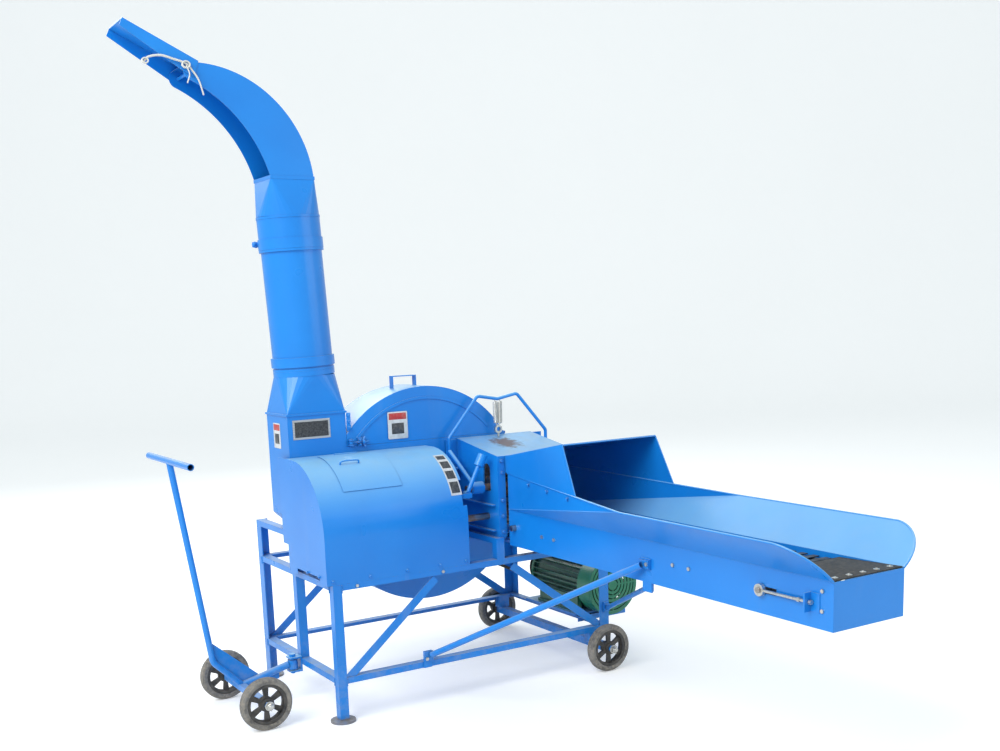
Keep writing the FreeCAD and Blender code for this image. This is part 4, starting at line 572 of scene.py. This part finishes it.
def hex_bolt(bm, at, axis, across=0.016, washer=True):
    """A washer and a chamfered hexagon head, turned to a random angle."""
    axis = Vector(axis).normalized()
    base = 0.0
    if washer:
        thick = across * 0.13
        rim = across * 0.82
        turn(bm, at, axis, ((0, rim), (thick * 0.7, rim), (thick, across * 0.78), (thick, 0.001)), 20)
        base = thick
    spin = rng.uniform(0, math.pi / 3)
    corner, tall = across / math.sqrt(3), across * 0.62
    hexagon(bm, at + axis * base, axis, ((0, corner * 0.97), (tall * 0.06, corner), (tall * 0.84, corner),
                                         (tall, corner * 0.84)), spin)


def stud_nut(bm, at, axis, across=0.018, stud=0.012):
    """A nut on a washer with the thread standing proud."""
    hex_bolt(bm, at, axis, across)
    axis = Vector(axis).normalized()
    base = at + axis * across * 0.7
    profile = []
    turns = max(3, int(stud / 0.0016))
    for k in range(turns):
        rise = stud * k / turns
        profile += [(rise, across * 0.27), (rise + stud / turns / 2, across * 0.31)]
    profile += [(stud, across * 0.27), (stud + 0.0012, across * 0.20)]
    turn(bm, base, axis, profile, 14)


def row(first, last, count):
    """Evenly spaced points from first to last."""
    return [first.lerp(last, k / (count - 1)) for k in range(count)]


def weld(bm, path, radius=0.0032):
    """A hand-laid weld bead: overlapping scallops that wander a little."""
    beads = []
    for start, end in zip(path, path[1:]):
        beads += row(start, end, max(3, int((end - start).length / 0.0022)))[:-1]
    beads.append(path[-1])
    points, radii = [], []
    for k, point in enumerate(beads):
        jitter = Vector((rng.uniform(-1, 1), rng.uniform(-1, 1), rng.uniform(-1, 1))) * radius * 0.10
        points.append(point + jitter)
        radii.append(radius * (0.82 + 0.26 * abs(math.sin(k * 1.05)) + rng.uniform(-0.05, 0.05)))
    radii[0] = radii[-1] = radius * 0.35
    sweep(bm, points, radii, 8)


# ------------------------------------------------------------------------------ fittings

# The feed trough in mm: its middle and half width in x, then the wings' reach outward and top height.
TROUGH_MIDDLE, TROUGH_HALF = 1135.5, 185.5
WING_OUT, WING_TOP_Z = 150, 1050
# The belt guard's round top in metres: radius, and its axis in y and z.
GUARD_RADIUS, GUARD_Y, GUARD_Z = 0.340, 0.318, 0.885


def guard_ring(bm, left, right, angle, inner, outer, y=GUARD_Y):
    """Four corners of a sheet's section across the guard's curved front, `angle` down from its top."""
    ring = []
    for reach, sides in ((inner, (left, right)), (outer, (right, left))):
        for x in sides:
            ring.append(bm.verts.new((x, y - reach * math.sin(angle), GUARD_Z + reach * math.cos(angle))))
    return ring


def bolts(name, body, finish, places, across=0.016):
    """One piece holding several bolt heads: places is (point, axis) pairs."""
    def fill(bm):
        for at, axis in places:
            hex_bolt(bm, at, axis, across)
    return piece(name, body, finish, fill)


def label_print(name, colour, rough=0.35):
    """A sticker's printed film, a little dirty."""
    look = Look(name)
    dirty = look.ramp(look.noise(60, 5), 0.42, 0.72, 0.0, 0.35)
    look.relief((look.noise(300, 2), 0.08, 0.0003), bevel=0)
    look.set(Base_Color=look.mix(dirty, colour, (0.25, 0.25, 0.24)), Roughness=rough)
    return look.material


def rope_fibre():
    """White cotton cord with a soft nap."""
    look = Look("rope_fibre")
    fuzz = look.noise(900, 3, (1, 1, 0.3))
    look.relief((fuzz, 0.5, 0.0006), bevel=0)
    twist = look.mix(look.ramp(fuzz, 0.3, 0.7), (0.48, 0.47, 0.43), (0.80, 0.79, 0.75))
    look.set(Base_Color=twist, Roughness=0.85, Sheen_Weight=0.3)
    return look.material


def blank_labels():
    """Plain plates where the maker's stickers would be: a pale field and a coloured head, no marks."""
    pale = label_print("label_white", (0.62, 0.64, 0.66))
    red = label_print("label_red", (0.50, 0.035, 0.03))
    dark = label_print("label_dark", (0.03, 0.035, 0.045))
    places = (
        ("cover_label", "cover", mm(564, 395.6, 1341), X, Z, 0.112, 0.138, red),
        ("chute_label", "frame", mm(-25.6, 545, 1325), -Y, Z, 0.088, 0.124, red),
    )
    guard_label(pale, dark)
    for name, body, centre, right, up, width, height, head in places:
        piece(name, body, pale,
              lambda bm: rounded_plate(bm, centre, right, up, width, height, 0.0006, 0.006))
        lift = right.cross(up).normalized() * 0.0005
        piece(name + "_head", body, head,
              lambda bm: rounded_plate(bm, centre + lift + up * height * 0.33, right, up,
                                       width * 0.88, height * 0.24, 0.0004, 0.003))
        piece(name + "_field", body, dark,
              lambda bm: rounded_plate(bm, centre + lift - up * height * 0.12, right, up,
                                       width * 0.62, height * 0.40, 0.0004, 0.003))


def curved_strip(name, finish, left, right, first, last, lift):
    """A thin sheet that follows the guard's curved front between two angles from its top."""
    inner = GUARD_RADIUS + lift
    thick, steps = 0.0005, 12

    def fill(bm):
        angles = [math.radians(first + (last - first) * k / steps) for k in range(steps + 1)]
        loft(bm, [guard_ring(bm, left, right, angle, inner, inner + thick) for angle in angles])
    piece(name, "frame", finish, fill, 50)


def guard_label(pale, dark):
    """The blank strip label near the guard's right end: a pale sheet with four dark fields."""
    curved_strip("guard_label", pale, 0.640, 0.700, 24, 68, 0.0003)
    for k, (first, last) in enumerate(((26, 31), (34, 42), (45, 53), (56, 66))):
        curved_strip(f"guard_label_field_{k}", dark, 0.647, 0.693, first, last, 0.0008)


def plate_rivets():
    """Four domed rivets in the corners of the rating plate."""
    low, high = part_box("name_plate")
    inset = 0.006
    dome = ((-0.001, 0.0032), (0.0006, 0.0031), (0.0016, 0.0020), (0.002, 0.0005))

    def fill(bm):
        for x in (low.x + inset, high.x - inset):
            for z in (low.z + inset, high.z - inset):
                turn(bm, Vector((x, low.y, z)), -Y, dome, 14)
    piece("plate_rivets", "frame", zinc_plate, fill)


def spout_rope():
    """The white cord that holds the deflector flap: a three-strand line tied off on the pivot bolt."""
    line = smooth_path([mm(-567, 421, 3008), mm(-545, 414, 3030), mm(-492, 411, 3040), mm(-440, 411, 3030),
                        mm(-383, 410, 3014), mm(-354, 412, 2985), mm(-330, 411, 2948),
                        mm(-311, 416, 2889)], 14)
    lay, twist = 0.0026, 0.19
    knots = ((mm(-383, 409, 3010), 0.017), (mm(-560, 418, 3014), 0.013))

    def fill(bm):
        for strand in range(3):
            path = []
            for k, point in enumerate(line):
                angle = 2 * math.pi * (strand / 3 + k * twist)
                path.append(point + spoke(Y, Z, angle) * lay)
            sweep(bm, path, 0.0029, 8)
        for at, size in knots:
            for turn_number in range(3):
                loop = []
                for k in range(20):
                    angle = 2 * math.pi * k / 20
                    loop.append(at + X * math.cos(angle) * size + Z * math.sin(angle) * size * 0.8
                                + Y * (turn_number - 1) * 0.005)
                sweep(bm, loop, 0.0032, 8, closed=True)
        tail = smooth_path([mm(-383, 406, 3006), mm(-374, 396, 2968), mm(-386, 398, 2930)], 8)
        sweep(bm, tail, 0.0030, 8)
    piece("spout_rope", "flap", rope_fibre(), fill)


def press_spring_pair():
    """Two close-wound tension springs hung from the bow and hooked into the eye bolt."""
    eye_low, eye_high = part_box("spring_eye_bolt")
    middle = (eye_low + eye_high) / 2
    top, wire, coil_radius, pitch = 1.432, 0.0022, 0.0108, 0.0047
    foot_apart, head_apart, steps = 0.0125, 0.0150, 14

    def fill(bm):
        for side in (-1, 1):
            foot = Vector((middle.x + side * foot_apart, middle.y, eye_high.z + 0.010))
            head = Vector((middle.x + side * head_apart, middle.y, top - 0.008))
            turns = int((head - foot).length / pitch)
            coil = []
            for k in range(turns * steps + 1):
                share = k / (turns * steps)
                angle = 2 * math.pi * turns * share
                coil.append(foot.lerp(head, share) + spoke(X, Y, angle) * coil_radius)
            sweep(bm, coil, wire, 6)
            lower_hook = [coil[0], foot - Z * 0.004, Vector((middle.x, middle.y, eye_high.z - 0.004))]
            upper_hook = [coil[-1], head + Z * 0.004, Vector((head.x, middle.y, top + 0.008))]
            sweep(bm, smooth_path(lower_hook, 5), wire, 6)
            sweep(bm, smooth_path(upper_hook, 5), wire, 6)
    made = piece("tension_springs", None, bright_zinc, fill)
    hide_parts("press_springs")
    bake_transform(made)


def stretching_conveyor():
    """The conveyor loop as shown: fixed copies of the chains and slats, baked where they stand, with the
    CAD parts hidden.
    """
    for node in ("conveyor_chains", "conveyor_slats"):
        source = frame["nodes"][node]
        loop = bpy.data.objects.new(node + "_loop", source.data.copy())
        loop.matrix_world = source.matrix_world
        bpy.context.scene.collection.objects.link(loop)
        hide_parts(node)
        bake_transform(loop)


def swivel_clamp():
    """The clamp bolt through the swivelling sleeve's lug, square to the lug."""
    turned = math.radians(32)
    outward = Vector((-math.cos(turned), math.sin(turned), 0))
    across = Vector((outward.y, -outward.x, 0))
    middle = mm(104.7, 535, 2248) + outward * 0.170
    half_lug = 0.0112

    def fill(bm):
        hex_bolt(bm, middle + across * half_lug, across, 0.018)
        stud_nut(bm, middle - across * half_lug, -across, 0.018, 0.008)
    piece("swivel_clamp_bolt", "spout", blue_enamel, fill)


def cover_clamp():
    """The swing bolt and wing nut that hold the drum's cover shut, and the bolted strip above it."""
    axle_x, axle_y, bolt_z = 295, 382, 1274
    pin = ((0, 0.004), (0.001, 0.005), (0.039, 0.005), (0.040, 0.004))
    nut = ((0, 0.011), (0.003, 0.012), (0.012, 0.010), (0.014, 0.008))

    def fixed(bm):
        for z in (bolt_z - 16, bolt_z + 10):
            rounded_block(bm, mm(axle_x - 11, 370, z), mm(axle_x + 11, 399, z + 6))
        turn(bm, mm(axle_x, axle_y, bolt_z - 20), Z, pin, 14)
        turn(bm, mm(axle_x, axle_y, bolt_z - 8), Z, ((0, 0.009), (0.016, 0.009)), 18)
        thread = []
        radii = []
        for k in range(90):
            thread.append(mm(303 + k, axle_y, bolt_z))
            radii.append(0.0046 + 0.0006 * (k % 2))
        sweep(bm, thread, radii, 12)
        turn(bm, mm(356, axle_y, bolt_z), X, nut, 18)
        for side in (-1, 1):
            wing = smooth_path([mm(362, axle_y, bolt_z + side * 6), mm(366, axle_y, bolt_z + side * 16),
                                mm(372, axle_y, bolt_z + side * 24)], 5)
            sweep(bm, wing, [0.004 + 0.0002 * k for k in range(len(wing))], 10)
    piece("cover_clamp_bolt", "frame", blue_worn, fixed)

    def fork(bm):
        for z in (bolt_z - 14, bolt_z + 7):
            rounded_block(bm, mm(338, 368, z), mm(346, 396, z + 7), 0.001)
        rounded_block(bm, mm(336, 391, bolt_z - 22), mm(378, 396, bolt_z + 22), 0.001)
    piece("cover_clamp_fork", "cover", blue_worn, fork)

    strip_x, strip_y = 293, 391

    def strip(bm):
        rounded_block(bm, mm(strip_x - 10, strip_y, 1335), mm(strip_x + 10, 399.6, 1424), 0.001)
        for z in (1350, 1380, 1410):
            hex_bolt(bm, mm(strip_x, strip_y, z), -Y, 0.011)
    piece("seam_strip", "frame", blue_enamel, strip)


def frame_welds():
    """Beads where rails meet posts and round the front foot, on the faces that can be seen."""
    face, rail_tops, foot_top = 22.6, (215, 665), 5

    def upright(bm, x, y, top):
        """A bead as tall as a rail, just inside its edges."""
        weld(bm, [mm(x, y, top - 42), mm(x, y, top - 2)])

    def fill(bm):
        for x in (face, 1520.4):
            for top in rail_tops:
                upright(bm, x, -face, top)
            upright(bm, x, face, rail_tops[0])
        for y in (face, 895.4):
            for top in rail_tops:
                upright(bm, -face, y, top)
        for y in (-face, face):
            weld(bm, [mm(-20, y, foot_top), mm(20, y, foot_top)], 0.004)
        for x in (-face, face):
            weld(bm, [mm(x, -20, foot_top), mm(x, 20, foot_top)], 0.004)
    piece("frame_welds", "frame", blue_worn, fill)


def guard_screws():
    """Screws along the guard's foot, and the hatch's pull."""
    front, left = -22.2, -50.2

    def fill(bm):
        for x in (-20, 170, 365, 545, 690):
            hex_bolt(bm, mm(x, front, 684), -Y, 0.011)
        for y in (60, 200):
            hex_bolt(bm, mm(left, y, 698), -X, 0.011)
    piece("guard_screws", "frame", blue_enamel, fill)

    def pull(bm):
        handle = smooth_path([mm(137, 176, 1194.5), mm(140, 172, 1211), mm(160, 170, 1216),
                              mm(211, 170, 1216), mm(231, 172, 1211), mm(234, 176, 1194.5)], 6)
        sweep(bm, handle, 0.0042, 10)
    piece("hatch_pull", "hatch", blue_enamel, pull)


def hatch_lip():
    """The lid sheet that overlaps the guard's opening and casts a line of shadow round it."""
    left, right, gap, thick = 0.086, 0.393, 0.0022, 0.0020
    back_edge, last_angle, step = 0.328, 54, 3

    def fill(bm):
        stations = [(back_edge, 0.0)]
        stations += [(GUARD_Y, math.radians(angle)) for angle in range(0, last_angle + 1, step)]
        inner = GUARD_RADIUS + gap
        loft(bm, [guard_ring(bm, left, right, angle, inner, inner + thick, y) for y, angle in stations])
    piece("hatch_lip", "hatch", blue_enamel, fill, 50)


def wing_edge(side):
    """The top edge of one wing, from the throat round the rounded outer corner."""
    points = [mm(TROUGH_MIDDLE + side * (TROUGH_HALF + out), y, z) for out, y, z in (
        (0, -25, 1096), (WING_OUT, -1130, WING_TOP_Z), (WING_OUT, -2008, WING_TOP_Z),
        (108, -2113, 1011.6), (0, -2158, 913))]
    return points[:2] + arc_through(*points[2:], 14)


def wing_hems():
    """Rolled edges of the trough's wings and the hood, and the bolts that join the hood to the wings."""
    def fill(bm):
        for side in (-1, 1):
            edge = wing_edge(side)
            path = row(edge[0], edge[1], 12)[:-1] + row(edge[1], edge[2], 10)[:-1] + edge[2:]
            sweep(bm, path, 0.0048, 10)
        hood = [mm(TROUGH_MIDDLE + out, y, z) for out, y, z in (
            (-283, -743, 1070), (-269, -631, 1288), (269, -631, 1288), (283, -743, 1070))]
        for start, end in zip(hood, hood[1:]):
            sweep(bm, row(start, end, 6), 0.0034, 8)
    piece("wing_hems", "frame", blue_enamel, fill)

    places = []
    root_y, root_z, run, drop, sheet, below = -25, 1096, 1105, 45, 3, 21
    for y in (-268, -463, -671):
        share = (root_y - y) / run
        for side in (-1, 1):
            x = TROUGH_MIDDLE + side * (TROUGH_HALF + WING_OUT * share + sheet)
            places.append((mm(x, y, root_z - drop * share - below), Vector((side, -0.1, -0.05))))
    bolts("hood_bolts", "frame", blue_worn, places, 0.013)


def throat_bolts():
    """Bolts down both sides and across the top of the throat's front flange."""
    face_y = -8.2
    places = []
    for z in (800, 880, 960, 1100, 1160):
        for x in (925, 1345):
            places.append((mm(x, face_y, z), -Y))
    for x in (980, 1060, 1210, 1290):
        places.append((mm(x, face_y, 1165), -Y))
    bolts("throat_flange_bolts", "frame", blue_worn, places, 0.014)


def flap_screws():
    """Screws and broad washers along the outer edge of the rubber flap."""
    low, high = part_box("rubber_flap")
    inset_x, inset_y, sunk = 0.035, 0.028, 0.0006
    first = Vector((low.x + inset_x, low.y + inset_y, high.z))
    last = Vector((high.x - inset_x, low.y + inset_y, high.z))

    def fill(bm):
        for at in row(first, last, 5):
            turn(bm, at - Z * sunk, Z, ((0, 0.012), (0.0014, 0.012), (0.0018, 0.0112), (0.0018, 0.0052),
                                        (0.0042, 0.0046), (0.0052, 0.003), (0.0054, 0.0006)), 20)
    piece("flap_screws", "frame", zinc_plate, fill)


def axle_nuts():
    """Zinc slotted nuts, washers and split pins on the four wheel ends."""
    right_x, left_x, axle_z = 1470, -332, 125

    def nut(bm, at, axis):
        """A washer, the nut, the axle's end through it and the bent split pin."""
        axis, first, _ = square_to(axis)
        turn(bm, at, axis, ((0, 0.0225), (0.002, 0.0225), (0.0028, 0.0215), (0.0028, 0.002)), 28)
        corner = 0.0185
        hexagon(bm, at, axis, ((0.0028, corner), (0.0165, corner), (0.019, corner * 0.85)))
        turn(bm, at, axis, ((0.019, 0.0122), (0.024, 0.0122), (0.026, 0.0105), (0.026, 0.0005)), 22)
        pin = at + axis * 0.0225
        sweep(bm, [pin - first * 0.022, pin + first * 0.020], 0.0018, 8)
        sweep(bm, smooth_path([pin - first * 0.019, pin - first * 0.024 + axis * 0.004,
                               pin - first * 0.019 + axis * 0.008], 4), 0.0016, 8)

    def right_end(bm):
        for y, side in ((-186, -1), (1026, 1)):
            nut(bm, mm(right_x, y, axle_z), Y * side)

    def left_end(bm):
        for y, side in ((70, -1), (740, 1)):
            nut(bm, mm(left_x, y, axle_z), Y * side)
    piece("axle_nuts_right", "frame", zinc_plate, right_end)
    piece("axle_nuts_left", "dolly", zinc_plate, left_end)


def motor_details():
    """The cable gland on the motor's terminal box."""
    low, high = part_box("terminal_box")
    seat = Vector((low.x + 0.001, (low.y + high.y) / 2, low.z + 0.03))
    steps = ((0, 0.017), (0.010, 0.017), (0.012, 0.015), (0.012, 0.014), (0.022, 0.013), (0.028, 0.009))

    def gland(bm):
        turn(bm, seat, -X, steps, 16)
    piece("cable_gland", "frame", black_plastic, gland)


blank_labels()
plate_rivets()
spout_rope()
press_spring_pair()
stretching_conveyor()
swivel_clamp()
cover_clamp()
frame_welds()
guard_screws()
hatch_lip()
wing_hems()
throat_bolts()
flap_screws()
axle_nuts()
motor_details()


# ------------------------------------------------------------------------------ floor, light and camera

def softbox(name, at, toward, size, power, colour=(1, 1, 1)):
    """A rectangular light at a place, aimed at a point."""
    data = bpy.data.lights.new(name, "AREA")
    data.shape = "RECTANGLE"
    data.size, data.size_y = size
    data.energy = power
    data.color = colour
    light = bpy.data.objects.new(name, data)
    light.location = at
    light.rotation_mode = "QUATERNION"
    light.rotation_quaternion = (Vector(toward) - Vector(at)).to_track_quat("-Z", "Y")
    bpy.context.scene.collection.objects.link(light)
    return light


def floor_look():
    """Pale matt floor that glows a little where the camera sees it, so it joins the white backdrop."""
    glow = 0.24
    look = Look("studio_floor")
    tone = look.mix(look.ramp(look.noise(0.4, 2), 0.3, 0.7), (0.875, 0.875, 0.875), (0.885, 0.885, 0.885))
    seen = look.math("MULTIPLY", look.add("ShaderNodeLightPath").outputs["Is Camera Ray"], glow)
    look.set(Base_Color=tone, Roughness=0.7, Emission_Color=(1.0, 1.0, 1.0), Emission_Strength=seen)
    return look.material


def studio():
    """A pale floor that curves up into a backdrop, an overcast sky and three softboxes."""
    sky_light, sky_seen = 0.74, 1.1
    bm = bmesh.new()
    half, near, far, rise, curve = 30.0, -14.0, 16.0, 14.0, 5.0
    turned = math.radians(-32)
    section = [Vector((0, near, 0)), Vector((0, far, 0))]
    for k in range(1, 9):
        angle = math.pi / 2 * k / 8
        section.append(Vector((0, far + curve * math.sin(angle), curve * (1 - math.cos(angle)))))
    section.append(Vector((0, far + curve, rise)))
    rows = [[bm.verts.new(p + X * side * half) for p in section] for side in (-1, 1)]
    for k in range(len(section) - 1):
        bm.faces.new((rows[0][k], rows[1][k], rows[1][k + 1], rows[0][k + 1]))
    mesh = bpy.data.meshes.new("studio_floor")
    bm.to_mesh(mesh)
    mesh.shade_smooth()
    floor = bpy.data.objects.new("studio_floor", mesh)
    floor.rotation_euler.z = turned
    bpy.context.scene.collection.objects.link(floor)
    mesh.materials.append(floor_look())
    softbox("key_light", (-6.0, -2.6, 7.0), (0.8, 0.0, 1.0), (6, 5), 640, (1.0, 0.985, 0.96))
    softbox("fill_light", (6.5, -6.0, 3.6), (0.9, 0.0, 0.9), (6, 4), 110, (0.94, 0.97, 1.0))
    softbox("rim_light", (1.5, 7.0, 5.5), (0.6, 0.3, 1.4), (7, 3), 260)
    world = bpy.data.worlds.new("overcast")
    world.use_nodes = True
    sky = world.node_tree.nodes["Background"]
    sky.inputs["Color"].default_value = (0.88, 0.97, 1.0, 1)
    seen = world.node_tree.nodes.new("ShaderNodeLightPath")
    strength = world.node_tree.nodes.new("ShaderNodeMapRange")
    strength.inputs["To Min"].default_value = sky_light
    strength.inputs["To Max"].default_value = sky_seen
    world.node_tree.links.new(seen.outputs["Is Camera Ray"], strength.inputs["Value"])
    world.node_tree.links.new(strength.outputs["Result"], sky.inputs["Strength"])
    bpy.context.scene.world = world
    bpy.context.scene.view_settings.view_transform = "Standard"


def camera():
    """The viewing place: feed side, to the left, a little above the machine."""
    yaw, pitch, roll = math.radians(32.44), math.radians(10.03), math.radians(-1.85)
    ahead = Vector((math.sin(yaw) * math.cos(pitch), math.cos(yaw) * math.cos(pitch), -math.sin(pitch)))
    level = Vector((math.cos(yaw), -math.sin(yaw), 0))
    above = level.cross(ahead)
    right = level * math.cos(roll) + above * math.sin(roll)
    up = above * math.cos(roll) - level * math.sin(roll)
    place = Vector((-2.1214, -4.9397, 1.8707))
    data = bpy.data.cameras.new("camera")
    data.sensor_width = 36
    data.lens = 42.05
    data.clip_end = 200
    eye = bpy.data.objects.new("camera", data)
    eye.matrix_world = Matrix((
        (right.x, up.x, -ahead.x, place.x),
        (right.y, up.y, -ahead.y, place.y),
        (right.z, up.z, -ahead.z, place.z),
        (0, 0, 0, 1),
    ))
    bpy.context.scene.collection.objects.link(eye)
    bpy.context.scene.camera = eye
    # The lens is shifted only while the camera stands at this place; anywhere else it looks straight.
    for path, shift in (("shift_x", -0.018), ("shift_y", 0.1467)):
        driver = data.driver_add(path).driver
        driver.type = "SCRIPTED"
        distance = driver.variables.new()
        distance.name = "x"
        distance.type = "TRANSFORMS"
        distance.targets[0].id = eye
        distance.targets[0].transform_type = "LOC_X"
        driver.expression = f"{shift} if abs(x - {place.x:.4f}) < 0.001 else 0"


studio()
camera()
